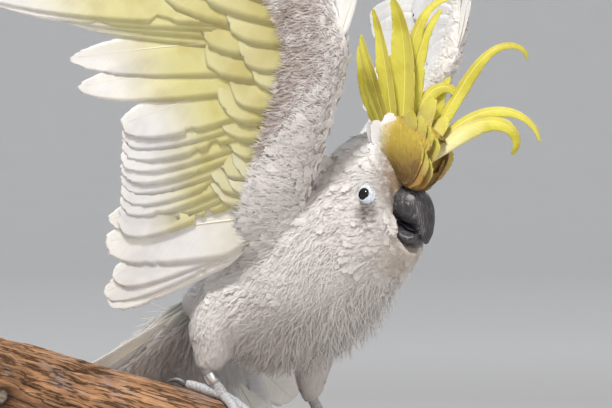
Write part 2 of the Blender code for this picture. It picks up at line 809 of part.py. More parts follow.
def branch_point(y):
    """The branch's axis where it passes a given distance to the bird's left."""
    table = np.array(BRANCH_AXIS)
    padded = np.vstack([2 * table[0] - table[1], table, 2 * table[-1] - table[-2]])
    fine = [row_at(padded, place) for place in np.linspace(0.0, len(table) - 1.0, 101)]
    fine = np.array(fine)
    x = float(np.interp(y, fine[:, 1], fine[:, 0]))
    z = float(np.interp(y, fine[:, 1], fine[:, 2]))
    return feet(x, y, z)


def branch_frame(y):
    """The branch's centre, its direction, and its upward and forward sides."""
    centre = branch_point(y)
    along = (branch_point(y + 0.002) - branch_point(y - 0.002)).normalized()
    upward = (UP - along * UP.dot(along)).normalized()
    return centre, along, upward, along.cross(upward)


def branch_loft(name, grow, rough):
    """The branch's closed form, smooth where the feet stand."""
    dice = random.Random(11)
    first = BRANCH_AXIS[0][1]
    last = BRANCH_AXIS[-1][1]
    rings = []
    for y in np.linspace(first, last, BRANCH_RINGS):
        centre, _, upward, sideways = branch_frame(float(y))
        ring = []
        for k in range(BRANCH_SIDES):
            angle = 2 * math.pi * k / BRANCH_SIDES
            ridge = dice.uniform(-1.0, 0.0) * rough
            if math.cos(angle) > -0.3:
                ridge = 0.0 if y > -0.11 else ridge * 0.6
            radius = BRANCH_RADIUS + grow + ridge
            outward = upward * math.cos(angle) + sideways * math.sin(angle)
            ring.append(centre + outward * radius)
        rings.append(ring)
    return loft(rings, name)


def make_branch(bark):
    """The cut length of branch that the bird grips, with one old knot."""
    branch = branch_loft("perch_branch", 0.0, BRANCH_RIDGE)
    centre, along, upward, sideways = branch_frame(-0.225)
    out = (sideways * 0.93 - upward * 0.25).normalized()
    knot = tapered_tube([centre + out * (BRANCH_RADIUS - 0.012), centre + out * BRANCH_RADIUS,
                         centre + out * (BRANCH_RADIUS + 0.004)],
                        [KNOT_RADIUS * 1.3, KNOT_RADIUS * 1.1, KNOT_RADIUS * 0.7], "knot", 10)
    branch = fuse([branch, knot], "perch_branch")
    branch.data.materials.append(bark)


def make_stand(paint, steel):
    """The flat base and the two rods up to the branch."""
    bpy.ops.mesh.primitive_cube_add(size=1.0)
    base = bpy.context.object
    base.name = "stand_base"
    for vert in base.data.vertices:
        vert.co = [(part + lift) * size for part, lift, size
                   in zip(vert.co, (0.0, 0.0, 0.5), BASE_SIZE)]
    for group in list(base.users_collection):
        group.objects.unlink(base)
    bpy.data.collections[MODEL_NAME].objects.link(base)
    bm = bmesh.new()
    bm.from_mesh(base.data)
    uprights = [edge for edge in bm.edges
                if abs(edge.verts[0].co.z - edge.verts[1].co.z) > BASE_SIZE[2] / 2]
    bmesh.ops.bevel(bm, geom=uprights, offset=BASE_CORNER, segments=5, profile=0.5,
                    affect="EDGES", material=-1)
    rim = [edge for edge in bm.edges if min(vert.co.z for vert in edge.verts) > BASE_SIZE[2] - SMALL]
    bmesh.ops.bevel(bm, geom=rim, offset=BASE_EDGE, segments=2, profile=0.5,
                    affect="EDGES", material=-1)
    bm.to_mesh(base.data)
    bm.free()
    base.data.materials.append(paint)
    for k, y in enumerate(ROD_PLACES):
        centre = branch_point(y)
        foot = Vector((centre.x, centre.y, BASE_SIZE[2] + GAP))
        rod = tapered_tube([foot, centre], [ROD_RADIUS, ROD_RADIUS], f"stand_rod_{k + 1}", 16)
        carve(rod, [branch_loft("branch_cutter", GAP, BRANCH_RIDGE)])
        rod.data.materials.append(steel)


def toe_path(branch_y, roll, bearing, length, side):
    """Points of a toe that lies round the branch, from the foot's pad to its end."""
    steps = 5
    clearance = BRANCH_RADIUS + GAP + TOE_RADIUS
    heading = math.radians(bearing)
    ahead = Vector((math.cos(heading), side * math.sin(heading), 0.0))
    _, along, _, sideways = branch_frame(branch_y)
    run = ahead.dot(along)
    wrap = ahead.dot(sideways)
    size = math.hypot(run, wrap)
    points = []
    for k in range(steps + 1):
        reach = length * k / steps
        centre, _, upward, sideways = branch_frame(branch_y + along.y * reach * run / size)
        angle = math.radians(roll) + reach * wrap / size / clearance
        outward = upward * math.cos(angle) + sideways * math.sin(angle)
        points.append(centre + outward * clearance)
    return points


def make_leg(label, white, grey, horn):
    """A feathered thigh, a scaly foot with four toes, and a claw on each toe."""
    leg = LEGS[label]
    hip, knee, ankle = (feet(*leg[key]) for key in ("hip", "knee", "ankle"))
    pad = toe_path(leg["branch_y"], leg["roll"], 0.0, 0.001, leg["side"])[0]
    shin_way = (pad - ankle).normalized()
    above = ankle - shin_way * 0.004
    thigh = tapered_tube([hip, knee, (knee + above) / 2, above, ankle],
                         [THIGH_RADII[0], THIGH_RADII[1], THIGH_RADII[1] * 0.72,
                          THIGH_RADII[2] * 1.08, THIGH_RADII[2]], "thigh_" + label, 14)
    carve(thigh, [whole_body_cutter()])
    thigh.data.materials.append(white)
    start = ankle + shin_way * GAP
    pieces = [tapered_tube([start, start + shin_way * 0.0015, pad],
                           [TARSUS_RADIUS * 1.12, TARSUS_RADIUS, TARSUS_RADIUS], "foot_" + label, 10)]
    for k, (bearing, length) in enumerate(TOES):
        path = toe_path(leg["branch_y"], leg["roll"], bearing, length, leg["side"])
        radii = [TOE_RADIUS * size for size in (1.0, 0.97, 0.98, 0.93, 0.92, 0.74)]
        pieces.append(tapered_tube(path, radii, f"toe_{label}_{k}", 8))
        make_claw(f"claw_{label}_{k + 1}", path, leg, horn)
    pieces.append(ball(pad, TOE_RADIUS * 1.02, "pad", 10, 8))
    foot = fuse(pieces, "foot_" + label)
    foot.data.materials.append(grey)
    return start, pad


def make_claw(name, path, leg, horn):
    """A curved claw that carries on from the end of a toe."""
    way = (path[-1] - path[-2]).normalized()
    centre, along, _, _ = branch_frame(path[-1].y - FEET_MIDDLE.y)
    inward = (centre - path[-1])
    inward -= along * inward.dot(along)
    inward.normalize()
    start = path[-1] + way * GAP
    points = [start]
    radii = [0.0032]
    start = start + way * 0.0010
    for k in range(5):
        t = k / 4
        lift = -inward * (0.0016 * math.sin(math.pi * t)) + inward * (0.0034 * t * t)
        points.append(start + way * (CLAW_LENGTH * t) + lift)
        radii.append(0.0029 * (1.0 - t) ** 0.7 + 0.0003)
    claw = tapered_tube(points, radii, name, 6)
    carve(claw, [branch_loft("branch_cutter", GAP, BRANCH_RIDGE)])
    claw.data.materials.append(horn)


def make_band(start, pad, steel):
    """The leg band, a short tube loose round the right shank."""
    way = (start - pad).normalized()
    middle = pad + way * (BAND_RISE + BAND_HEIGHT / 2)
    bm = bmesh.new()
    bmesh.ops.create_cone(bm, cap_ends=False, segments=20, radius1=BAND_INNER, radius2=BAND_INNER,
                          depth=BAND_HEIGHT)
    bmesh.ops.recalc_face_normals(bm, faces=bm.faces)
    bmesh.ops.solidify(bm, geom=bm.faces, thickness=BAND_INNER - BAND_OUTER)
    turn = way.to_track_quat("Z", "Y")
    for vert in bm.verts:
        vert.co = turn @ vert.co + middle
    bmesh.ops.recalc_face_normals(bm, faces=bm.faces)
    band = object_from(bm, "leg_band")
    band.data.materials.append(steel)


def main():
    """Build every node of the model."""
    clear_scene()
    new_collection(MODEL_NAME)
    white = material("white_feather", (0.86, 0.85, 0.83), 0.75)
    yellow = material("yellow_feather", (0.83, 0.76, 0.20), 0.70)
    dark = material("eye_dark", (0.02, 0.015, 0.012), 0.10)
    horn = material("bill_horn", (0.035, 0.035, 0.038), 0.55)
    grey = material("foot_skin", (0.34, 0.34, 0.35), 0.70)
    bark = material("branch_bark", (0.30, 0.19, 0.12), 0.90)
    steel = material("band_steel", (0.70, 0.71, 0.72), 0.30, 1.0)
    paint = material("base_wood", (0.10, 0.075, 0.06), 0.45)
    make_torso_and_neck(white)
    make_head(white, dark)
    make_bill(horn)
    make_crest(yellow)
    make_wing("right", white)
    make_wing("left", white)
    make_tail(white)
    start, pad = make_leg("right", white, grey, horn)
    make_leg("left", white, grey, horn)
    make_band(start, pad, steel)
    make_branch(bark)
    make_stand(paint, steel)


main()
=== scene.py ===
# %% [markdown]
# A white cockatoo lands on a branch with its wings and its crest still raised.
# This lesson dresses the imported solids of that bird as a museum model: skin, plumage, bill,
# eyes, feet, bark and a plain stand. The solids fix every size, so the first step loads
# them and keeps the box that they fill.

import math
import random

import bmesh
import bpy
import numpy as np
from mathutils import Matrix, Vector, noise
from mathutils.bvhtree import BVHTree


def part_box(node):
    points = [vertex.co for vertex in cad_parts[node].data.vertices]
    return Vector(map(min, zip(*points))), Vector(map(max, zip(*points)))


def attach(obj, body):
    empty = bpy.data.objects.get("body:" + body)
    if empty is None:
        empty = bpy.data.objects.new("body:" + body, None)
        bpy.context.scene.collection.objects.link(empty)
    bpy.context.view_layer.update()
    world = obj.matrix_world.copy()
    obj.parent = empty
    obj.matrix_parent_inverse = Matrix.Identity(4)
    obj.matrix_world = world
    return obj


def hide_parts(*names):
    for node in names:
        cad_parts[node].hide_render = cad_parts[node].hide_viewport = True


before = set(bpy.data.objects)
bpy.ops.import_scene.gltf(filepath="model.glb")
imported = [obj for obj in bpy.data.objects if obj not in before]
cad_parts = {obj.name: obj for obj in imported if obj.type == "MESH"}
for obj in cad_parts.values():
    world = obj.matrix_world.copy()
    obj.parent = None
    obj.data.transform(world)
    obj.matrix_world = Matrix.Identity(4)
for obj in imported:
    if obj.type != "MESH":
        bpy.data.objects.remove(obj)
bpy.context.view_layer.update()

# %% [markdown]
# The photograph was taken from the bird's right and a little in front, with a long lens, so
# nothing in it looks stretched. A camera four metres away with a matching lens gives the
# same flat view. Its aim is a point beside the breast, found from the photograph's middle.

# %% Camera
FEET_MIDDLE = Vector((0.010, 0.060, 0.135))
UP = Vector((0.0, 0.0, 1.0))
LEFT = Vector((0.0, 1.0, 0.0))
CAMERA_AZIMUTH = math.radians(42.0)
CAMERA_DISTANCE = 4.0
PHOTO_WIDTH = 612
PIXEL = 0.00078
VIEW_WIDTH = PHOTO_WIDTH * PIXEL
SENSOR = 36.0
CAMERA_RIGHT = Vector((math.cos(CAMERA_AZIMUTH), math.sin(CAMERA_AZIMUTH), 0.0))
CAMERA_BACK = Vector((math.sin(CAMERA_AZIMUTH), -math.cos(CAMERA_AZIMUTH), 0.0))
CAMERA_AIM = FEET_MIDDLE + CAMERA_RIGHT * 0.03705 + UP * 0.16224

lens = bpy.data.cameras.new("long_lens")
lens.sensor_width = SENSOR
lens.lens = SENSOR * CAMERA_DISTANCE / VIEW_WIDTH
lens.clip_end = 100.0
camera = bpy.data.objects.new("camera", lens)
bpy.context.scene.collection.objects.link(camera)
camera.location = CAMERA_AIM + CAMERA_BACK * CAMERA_DISTANCE
camera.rotation_mode = "QUATERNION"
camera.rotation_quaternion = CAMERA_BACK.to_track_quat("Z", "Y")
bpy.context.scene.camera = camera
print("lens:", round(lens.lens), "mm")

# %% [markdown]
# A studio floor that bends up into its own wall has no corner to draw the eye. One profile,
# spun all the way round the bird, makes such a bowl, so every view has the same backdrop.
# Plain pale grey keeps the white plumage apart from it.

# %% Helpers for every mesh
SMALL = 0.00002
FULL_TURN = 2.0 * math.pi
ORIGIN = (0.0, 0.0, 0.0)
SIDES = {"right": -1, "left": 1}


def clamp(value):
    """A number kept from zero to one."""
    return min(1.0, max(0.0, value))


def round_place(angle, size, run):
    """A place on a ring, for noise that has no seam."""
    return Vector((math.cos(angle) * size, math.sin(angle) * size, run))


def unit_grid(bm, across, along):
    """The corners of a new grid, with their places across and along it from 0 to 1."""
    made = bmesh.ops.create_grid(bm, x_segments=across, y_segments=along, size=0.5)["verts"]
    return (made, np.array([vert.co.x + 0.5 for vert in made]),
            np.array([vert.co.y + 0.5 for vert in made]))


def place_all(verts, places):
    for vert, place in zip(verts, places):
        vert.co = place


def spin_profile(bm, profile, steps, weld, centre=ORIGIN):
    """Spin a row of points about an upright line and weld what meets."""
    verts = [bm.verts.new(point) for point in profile]
    edges = [bm.edges.new(pair) for pair in zip(verts, verts[1:])]
    bmesh.ops.spin(bm, geom=verts + edges, cent=centre, axis=(0.0, 0.0, 1.0), angle=FULL_TURN,
                   steps=steps, use_merge=True)
    bmesh.ops.remove_doubles(bm, verts=bm.verts, dist=weld)


def face_outward(bm):
    bmesh.ops.recalc_face_normals(bm, faces=bm.faces)


def cap_open_rims(bm):
    rims = [edge for edge in bm.edges if edge.is_boundary]
    bmesh.ops.holes_fill(bm, edges=rims, sides=0)


def soften(bm, edges, offset, segments):
    bmesh.ops.bevel(bm, geom=edges, offset=offset, segments=segments, profile=0.5,
                    affect="EDGES", material=-1)


def finish_mesh(bm, name, materials, smooth=True):
    """Turn a bmesh into a linked object at the origin."""
    mesh = bpy.data.meshes.new(name)
    if smooth:
        for face in bm.faces:
            face.smooth = True
    bm.to_mesh(mesh)
    bm.free()
    piece = bpy.data.objects.new(name, mesh)
    bpy.context.scene.collection.objects.link(piece)
    for finish in materials:
        mesh.materials.append(finish)
    return piece


def thicken(piece, thickness, offset, far_material=0):
    """Give a sheet a thickness; its far side may wear a later material."""
    solid = piece.modifiers.new("thickness", "SOLIDIFY")
    solid.thickness = thickness
    solid.offset = offset
    solid.material_offset = far_material
    return piece


def melt(piece, voxel, factor, iterations):
    """Make one relaxed surface of crossing tubes, and keep it as the mesh."""
    remesh = piece.modifiers.new("one_surface", "REMESH")
    remesh.mode = "VOXEL"
    remesh.voxel_size = voxel
    remesh.use_smooth_shade = True
    relax = piece.modifiers.new("relax", "SMOOTH")
    relax.factor = factor
    relax.iterations = iterations
    graph = bpy.context.evaluated_depsgraph_get()
    mesh = bpy.data.meshes.new_from_object(piece.evaluated_get(graph))
    piece.modifiers.clear()
    piece.data = mesh
    return piece


def declare(piece, slot, *nodes):
    """Tell the frame what a piece rides on and stands for; the slot is not used."""
    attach(piece, "root")
    if nodes:
        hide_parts(*nodes)
    count = sum(len(face.vertices) - 2 for face in piece.data.polygons)
    print(piece.name, count, "triangles")
    return piece


# %% A short way to write node materials
class Finish:
    """A procedural material: most methods add a node and return its output."""

    def __init__(self, name, **sockets):
        self.material = bpy.data.materials.new(name)
        self.material.use_nodes = True
        self.tree = self.material.node_tree
        self.shader = self.tree.nodes["Principled BSDF"]
        for key, value in sockets.items():
            self.feed(self.shader.inputs[key.replace("_", " ")], value)

    def feed(self, socket, value):
        if isinstance(value, bpy.types.NodeSocket):
            self.tree.links.new(value, socket)
        else:
            socket.default_value = value

    def node(self, kind, inputs, **settings):
        made = self.tree.nodes.new("ShaderNode" + kind)
        for key, value in settings.items():
            setattr(made, key, value)
        for key, value in inputs.items():
            self.feed(made.inputs[key], value)
        return made

    def place(self):
        return self.node("TexCoord", {}).outputs["Object"]

    def scaled(self, spot, scale, turn=ORIGIN):
        inputs = {"Vector": spot, "Scale": scale, "Rotation": turn}
        return self.node("Mapping", inputs).outputs[0]

    def where(self, scale=(1.0, 1.0, 1.0), turn=ORIGIN):
        return self.scaled(self.place(), scale, turn)

    def own(self, name, output="Color"):
        return self.node("Attribute", {}, attribute_name=name).outputs[output]

    def split(self, colour):
        return self.node("SeparateColor", {"Color": colour}).outputs

    def parts(self, vector):
        return self.node("SeparateXYZ", {"Vector": vector}).outputs

    def join(self, x, y, z):
        return self.node("CombineXYZ", {"X": x, "Y": y, "Z": z}).outputs[0]

    def noise(self, scale, spot=None, detail=4.0, rough=0.55, distortion=0.0):
        inputs = {"Scale": scale, "Detail": detail, "Roughness": rough, "Distortion": distortion,
                  "Vector": spot if spot is not None else self.where()}
        return self.node("TexNoise", inputs).outputs["Fac"]

    def calc(self, operation, a, b=0.0):
        return self.node("Math", {0: a, 1: b}, operation=operation).outputs[0]

    def times(self, a, b):
        return self.calc("MULTIPLY", a, b)

    def off_middle(self, value):
        """How far a value is from one half."""
        return self.calc("ABSOLUTE", self.calc("SUBTRACT", value, 0.5))

    def away(self, spot, centre):
        inputs = {0: spot, 1: tuple(centre)}
        return self.node("VectorMath", inputs, operation="DISTANCE").outputs["Value"]

    def span(self, value, low, high, out_low=0.0, out_high=1.0):
        inputs = {"Value": value, "From Min": low, "From Max": high, "To Min": out_low,
                  "To Max": out_high}
        return self.node("MapRange", inputs, interpolation_type="SMOOTHSTEP").outputs[0]

    def mix(self, factor, a, b, mode="MIX"):
        a, b = ((*v, 1.0) if isinstance(v, tuple) else v for v in (a, b))
        made = self.tree.nodes.new("ShaderNodeMix")
        made.data_type = "RGBA"
        made.blend_type = mode
        for index, value in ((0, factor), (6, a), (7, b)):
            self.feed(made.inputs[index], value)
        return made.outputs[2]

    def near(self, centre, inner, outer):
        """One inside a ball round a point, fading to nothing outside it."""
        return self.span(self.away(self.place(), centre), inner, outer, 1.0, 0.0)

    def colour(self, value):
        self.feed(self.shader.inputs["Base Color"], value)

    def roughness(self, value):
        self.feed(self.shader.inputs["Roughness"], value)

    def bump(self, height, distance, strength=1.0):
        made = self.node("Bump", {"Height": height, "Strength": strength, "Distance": distance})
        self.feed(self.shader.inputs["Normal"], made.outputs["Normal"])


def grained(name, dark, light, scale, stretch=(1.0, 1.0, 1.0), detail=4.0, rough=0.55,
            distortion=0.0, edges=None, gloss=None, bump=(0.0001, 0.4), **sockets):
    """Two tones mixed by one grain, which also makes the bump and, if asked, the gloss."""
    finish = Finish(name, **sockets)
    grain = finish.noise(scale, finish.where(stretch), detail, rough, distortion)
    finish.colour(finish.mix(finish.span(grain, *edges) if edges else grain, dark, light))
    if gloss:
        finish.roughness(finish.span(grain, 0.3, 0.7, *gloss))
    finish.bump(grain, *bump)
    return finish.material


# %% Floor, lights and a soft surround
FLOOR_REACH = 18.0
FLOOR_BEND = 5.0
FLOOR_TOP = 14.0
BEND_STEPS = 12
FLOOR_SIDES = 72
FLOOR_WELD = 0.001
# Where the floor's tone begins and ends its change, from the bird outwards.
NEAR_TONE, FAR_TONE = 1.5, 7.0
# Each lamp: its way from the aim as right, up and back, its distance, size, power and colour.
LAMPS = {
    "key": ((-0.32, 1.20, 0.72), 4.0, 0.76, 180.0, (1.0, 0.97, 0.93)),
    "fill": ((0.5, 0.24, 1.2), 4.5, 1.6, 44.0, (1.0, 0.84, 0.74)),
    "rim": ((0.5, 0.8, -1.2), 3.0, 1.2, 22.0, (0.95, 0.98, 1.0)),
}
SURROUND_COLOUR = (0.94, 0.96, 1.0, 1.0)
SURROUND_STRENGTH = 0.68


def make_floor():
    plain = Finish("studio_paper", Roughness=0.9)
    grain = plain.noise(6.0)
    near = plain.near(ORIGIN, NEAR_TONE, FAR_TONE)
    light = plain.mix(near, (0.80, 0.795, 0.785), (0.47, 0.465, 0.46))
    dark = plain.mix(near, (0.77, 0.765, 0.755), (0.45, 0.445, 0.44))
    plain.colour(plain.mix(grain, light, dark))
    profile = [ORIGIN, (FLOOR_REACH, 0.0, 0.0)]
    for k in range(1, BEND_STEPS + 1):
        angle = 0.5 * math.pi * k / BEND_STEPS
        profile.append((FLOOR_REACH + FLOOR_BEND * math.sin(angle), 0.0,
                        FLOOR_BEND - FLOOR_BEND * math.cos(angle)))
    profile.append((FLOOR_REACH + FLOOR_BEND, 0.0, FLOOR_TOP))
    bm = bmesh.new()
    spin_profile(bm, profile, FLOOR_SIDES, FLOOR_WELD)
    face_outward(bm)
    floor = finish_mesh(bm, "studio_floor", [plain.material])


def add_light(name, way, distance, size, power, colour):
    lamp = bpy.data.lights.new(name, "AREA")
    lamp.shape = "DISK"
    lamp.size = size
    lamp.energy = power
    lamp.color = colour
    light = bpy.data.objects.new(name, lamp)
    bpy.context.scene.collection.objects.link(light)
    right, up, back = way
    way = (CAMERA_RIGHT * right + UP * up + CAMERA_BACK * back).normalized()
    light.location = CAMERA_AIM + way * distance
    light.rotation_mode = "QUATERNION"
    light.rotation_quaternion = way.to_track_quat("Z", "Y")
    light.visible_camera = False


make_floor()
for name, settings in LAMPS.items():
    add_light(name, *settings)
surround = bpy.data.worlds.new("soft_surround")
surround.use_nodes = True
glow = surround.node_tree.nodes["Background"]
glow.inputs[0].default_value = SURROUND_COLOUR
glow.inputs[1].default_value = SURROUND_STRENGTH
bpy.context.scene.world = surround
bpy.context.scene.view_settings.view_transform = "Standard"
print("lamps:", len(LAMPS))

# %% [markdown]
# Every form below is a tube of some kind: the body, an arm, a thigh, a toe. Each is written
# once as a function from a place along it and a place round it to a point. The same
# function then makes the skin, and tells the feathers where to root and which way to lie.

# %% Smooth rows and surfaces
def rows_at(rows, places):
    """Rows of a smooth curve through the given rows, at an array of places."""
    table = np.array(rows, dtype=float)
    padded = np.vstack([2 * table[0] - table[1], table, 2 * table[-1] - table[-2]])
    places = np.clip(np.atleast_1d(places), 0.0, len(table) - 1.0)
    index = np.minimum(places.astype(int), len(table) - 2)
    t = (places - index)[:, None]
    a, b, c, d = padded[index], padded[index + 1], padded[index + 2], padded[index + 3]
    return 0.5 * (2 * b + (c - a) * t + (2 * a - 5 * b + 4 * c - d) * t ** 2
                  + (3 * b - a - 3 * c + d) * t ** 3)


def unit(vectors):
    """Vectors brought to length one."""
    size = np.linalg.norm(vectors, axis=-1, keepdims=True)
    return vectors / np.maximum(size, 1e-12)


FEET = np.array(FEET_MIDDLE)
BODY_SECTIONS = (
    (-0.068, 0.094, -0.062, 0.073, 0.019),
    (-0.050, 0.107, -0.040, 0.060, 0.032),
    (-0.020, 0.124, -0.008, 0.043, 0.042),
    (0.015, 0.141, 0.028, 0.036, 0.049),
    (0.045, 0.156, 0.064, 0.046, 0.052),
    (0.067, 0.174, 0.098, 0.063, 0.051),
    (0.078, 0.191, 0.124, 0.086, 0.046),
    (0.086, 0.205, 0.144, 0.103, 0.037),
    (0.101, 0.215, 0.157, 0.115, 0.029),
    (0.124, 0.219, 0.163, 0.125, 0.0255),
    (0.142, 0.212, 0.157, 0.138, 0.023),
    (0.151, 0.200, 0.153, 0.152, 0.018),
    (0.154, 0.189, 0.153, 0.166, 0.0085),
)
LAST_SECTION = len(BODY_SECTIONS) - 1.0
# How far the skin lies inside the plumage, by section.
BODY_DEPTH = ((0.0, 4.0, 6.0, 8.0, 10.0, 12.0), (0.0028, 0.0032, 0.0030, 0.0022, 0.0014, 0.0009))
FACE_CENTRE = FEET + np.array((0.168, 0.0, 0.151))
FACE_RADIUS = 0.027
FACE_WIDTH = 0.72


def profile_points(rows, around, grow):
    """Points of ellipses between a top and a low point of the middle plane."""
    top = np.stack([rows[:, 0], 0 * rows[:, 0], rows[:, 1]], axis=1)
    low = np.stack([rows[:, 2], 0 * rows[:, 2], rows[:, 3]], axis=1)
    rise = (top - low) / 2
    half = np.linalg.norm(rise, axis=1)
    angle = FULL_TURN * around
    points = (top + low) / 2 + unit(rise) * (np.cos(angle) * (half + grow))[:, None]
    points[:, 1] += np.sin(angle) * (rows[:, 4] + grow)
    return points + FEET


def body_surface(along, around):
    """The skin of trunk, neck and head. Along runs from the face (0) to the rump (1)."""
    place = LAST_SECTION * (1.0 - np.atleast_1d(along))
    grow = -np.interp(place, *BODY_DEPTH)
    points = profile_points(rows_at(BODY_SECTIONS, place), around, grow)
    return hollow_face(points)


def hollow_face(points):
    """Press what lies inside the ball of the face back to its surface."""
    away = points - FACE_CENTRE
    away[:, 1] /= FACE_WIDTH
    reach = np.linalg.norm(away, axis=1)
    push = np.where(reach < FACE_RADIUS, FACE_RADIUS / np.maximum(reach, 1e-6), 1.0)
    away *= push[:, None]
    away[:, 1] *= FACE_WIDTH
    return FACE_CENTRE + away


THIGHS = {
    "right": ((0.006, -0.020, 0.116, 0.0170), (-0.001, -0.032, 0.090, 0.0232),
              (-0.007, -0.041, 0.064, 0.0206), (-0.0075, -0.0440, 0.0490, 0.0150),
              (-0.0088, -0.0483, 0.0372, 0.0090), (-0.0090, -0.0490, 0.0345, 0.0078)),
    "left": ((0.012, 0.020, 0.114, 0.0170), (0.016, 0.030, 0.088, 0.0232),
             (0.024, 0.038, 0.062, 0.0206), (0.0210, 0.0395, 0.0400, 0.0150),
             (0.0183, 0.0402, 0.0168, 0.0090), (0.0180, 0.0400, 0.0140, 0.0078)),
}


def ring_points(rows, along, around, flat=1.0):
    """Points round a bent tube, whose rows give its middle and its radius."""
    last = len(rows) - 1.0
    place = np.clip(np.atleast_1d(along), 0.0, 1.0) * last
    here = rows_at(rows, place)
    way = unit(rows_at(rows, np.minimum(place + 0.01, last))[:, :3]
               - rows_at(rows, np.maximum(place - 0.01, 0.0))[:, :3])
    side = unit(np.cross(way, np.array((1.0, 0.0, 0.02))))
    front = np.cross(side, way)
    angle = (FULL_TURN * around)[:, None]
    radius = here[:, 3:4]
    return here[:, :3] + (side * np.cos(angle) + front * np.sin(angle) * flat) * radius


def thigh_surface(label):
    rows = [(*(FEET + np.array(row[:3])), row[3]) for row in THIGHS[label]]
    return lambda along, around: ring_points(rows, along, np.atleast_1d(around))


print("body length:", round(float(np.linalg.norm(
    body_surface(0.0, np.array([0.0])) - body_surface(1.0, np.array([0.0])))), 3), "m")

# %% [markdown]
# A raised wing is nearly flat, so it is drawn in its own plane: forward along the chord and
# up along the span. The plane swings back, leans outwards and cups towards the tip. Each
# wing has its own pose, because the bird shows one wing's underside and the other's back.

# %% The planes of the wings
SHOULDER = Vector((0.067, 0.044, 0.140))
ELBOW_ROOT = (-0.008, 0.060)
WRIST_ROOT = (0.050, 0.140)
HAND_ROOT = (0.036, 0.222)
LAYER = 0.0009
CAMBER = 0.45
CUP_EASE = 0.16
# Each wing's side, then its swing back, outward lean and cup towards the tip, in degrees.
WING_POSES = {"right": (-1, 22.0, 8.0, 10.0), "left": (1, 30.0, 17.0, 24.0)}
# Sections of the arm: height, rear edge, leading edge, half thickness, shift inwards.
ARM_SECTIONS = (
    (-0.046, -0.044, -0.004, 0.0120, 0.034),
    (-0.020, -0.048, 0.006, 0.0140, 0.017),
    (0.006, -0.044, 0.014, 0.0130, 0.006),
    (0.034, -0.032, 0.025, 0.0115, 0.001),
    (0.058, -0.021, 0.036, 0.0105, 0.0),
    (0.086, 0.002, 0.048, 0.0095, 0.0),
    (0.114, 0.022, 0.058, 0.0085, 0.0),
    (0.140, 0.036, 0.066, 0.0080, 0.0),
    (0.166, 0.036, 0.061, 0.0070, 0.0),
    (0.196, 0.030, 0.051, 0.0060, 0.0),
    (0.226, 0.024, 0.041, 0.0035, 0.0),
)
ARM_DEPTH = 0.0018


class WingPlane:
    """The plane of a raised wing: back along the chord, up the span, under outwards."""

    def __init__(self, side, swing, lean, cup):
        swing = math.radians(swing)
        lean = math.radians(lean)
        self.side = side
        self.cup = math.tan(math.radians(cup))
        outward = np.array((math.sin(swing), side * math.cos(swing), 0.0))
        self.back = np.array((-math.cos(swing), side * math.sin(swing), 0.0))
        self.up = np.array(UP) * math.cos(lean) + outward * math.sin(lean)
        self.under = outward * math.cos(lean) - np.array(UP) * math.sin(lean)
        self.origin = FEET + np.array((SHOULDER.x, side * SHOULDER.y, SHOULDER.z))

    def points(self, forward, up, under):
        """Places in the wing, bent towards the underside well behind the arm."""
        forward, up, under = (np.atleast_1d(np.asarray(v, float)) for v in (forward, up, under))
        trail = np.maximum(0.0, -forward - 0.02)
        past = np.maximum(0.0, up - WRIST_ROOT[1])
        bend = under + CAMBER * trail ** 2 - self.cup * past ** 2 / (past + CUP_EASE)
        return (self.origin - forward[:, None] * self.back + up[:, None] * self.up
                + bend[:, None] * self.under)


PLANES = {label: WingPlane(*pose) for label, pose in WING_POSES.items()}


LAYERS_BY_HEIGHT = ((-0.01, 0.034, 0.060, 0.140, 0.222), (0, 4, 5, 14.5, 24))


def span_place(up):
    """Which feather's layer belongs to a height in the wing, as a number of layers."""
    return np.interp(up, *LAYERS_BY_HEIGHT)


def leading_edge(up):
    """How far forward the arm reaches at a height in the wing."""
    return float(np.interp(up, *zip(*((row[0], row[2]) for row in ARM_SECTIONS))))


def arm_surface(label):
    plane = PLANES[label]

    def surface(along, around):
        rows = rows_at(ARM_SECTIONS, np.atleast_1d(along) * (len(ARM_SECTIONS) - 1.0))
        up, rear, lead, half, inwards = rows.T
        middle = (rear + lead) / 2
        reach = np.maximum(0.002, (lead - rear) / 2 - ARM_DEPTH)
        half = np.maximum(0.0015, half - ARM_DEPTH)
        layer = span_place(up) * LAYER - inwards
        angle = FULL_TURN * np.atleast_1d(around)
        return plane.points(middle + reach * np.cos(angle), up, layer + half * np.sin(angle))

    return surface


# %% [markdown]
# Under the feathers a bird has one unbroken skin. The tubes are joined, remeshed into one
# surface and smoothed, so no seam shows where a leg, a wing or the neck leaves the trunk.
# It lies inside the solids by the depth of the plumage that will cover it.

# %% One skin from all the tubes
SKIN_VOXEL = 0.0022


def add_tube(bm, surface, rings, sides):
    """A closed tube over a surface function, from a grid whose long sides are merged."""
    made, around, along = unit_grid(bm, sides, rings)
    place_all(made, surface(along, around))
    bmesh.ops.remove_doubles(bm, verts=made, dist=SMALL)
    cap_open_rims(bm)
    bmesh.ops.triangulate(bm, faces=[face for face in bm.faces if len(face.verts) > 4])


def tube_piece(name, finish, surface, rings, sides):
    """One closed tube as a piece of its own."""
    bm = bmesh.new()
    add_tube(bm, surface, rings, sides)
    face_outward(bm)
    return finish_mesh(bm, name, [finish])


def make_skin(finish):
    bm = bmesh.new()
    add_tube(bm, body_surface, 120, 72)
    for label in SIDES:
        add_tube(bm, thigh_surface(label), 24, 32)
        add_tube(bm, arm_surface(label), 60, 32)
    face_outward(bm)
    return melt(finish_mesh(bm, "skin", [finish]), SKIN_VOXEL, 0.5, 9)
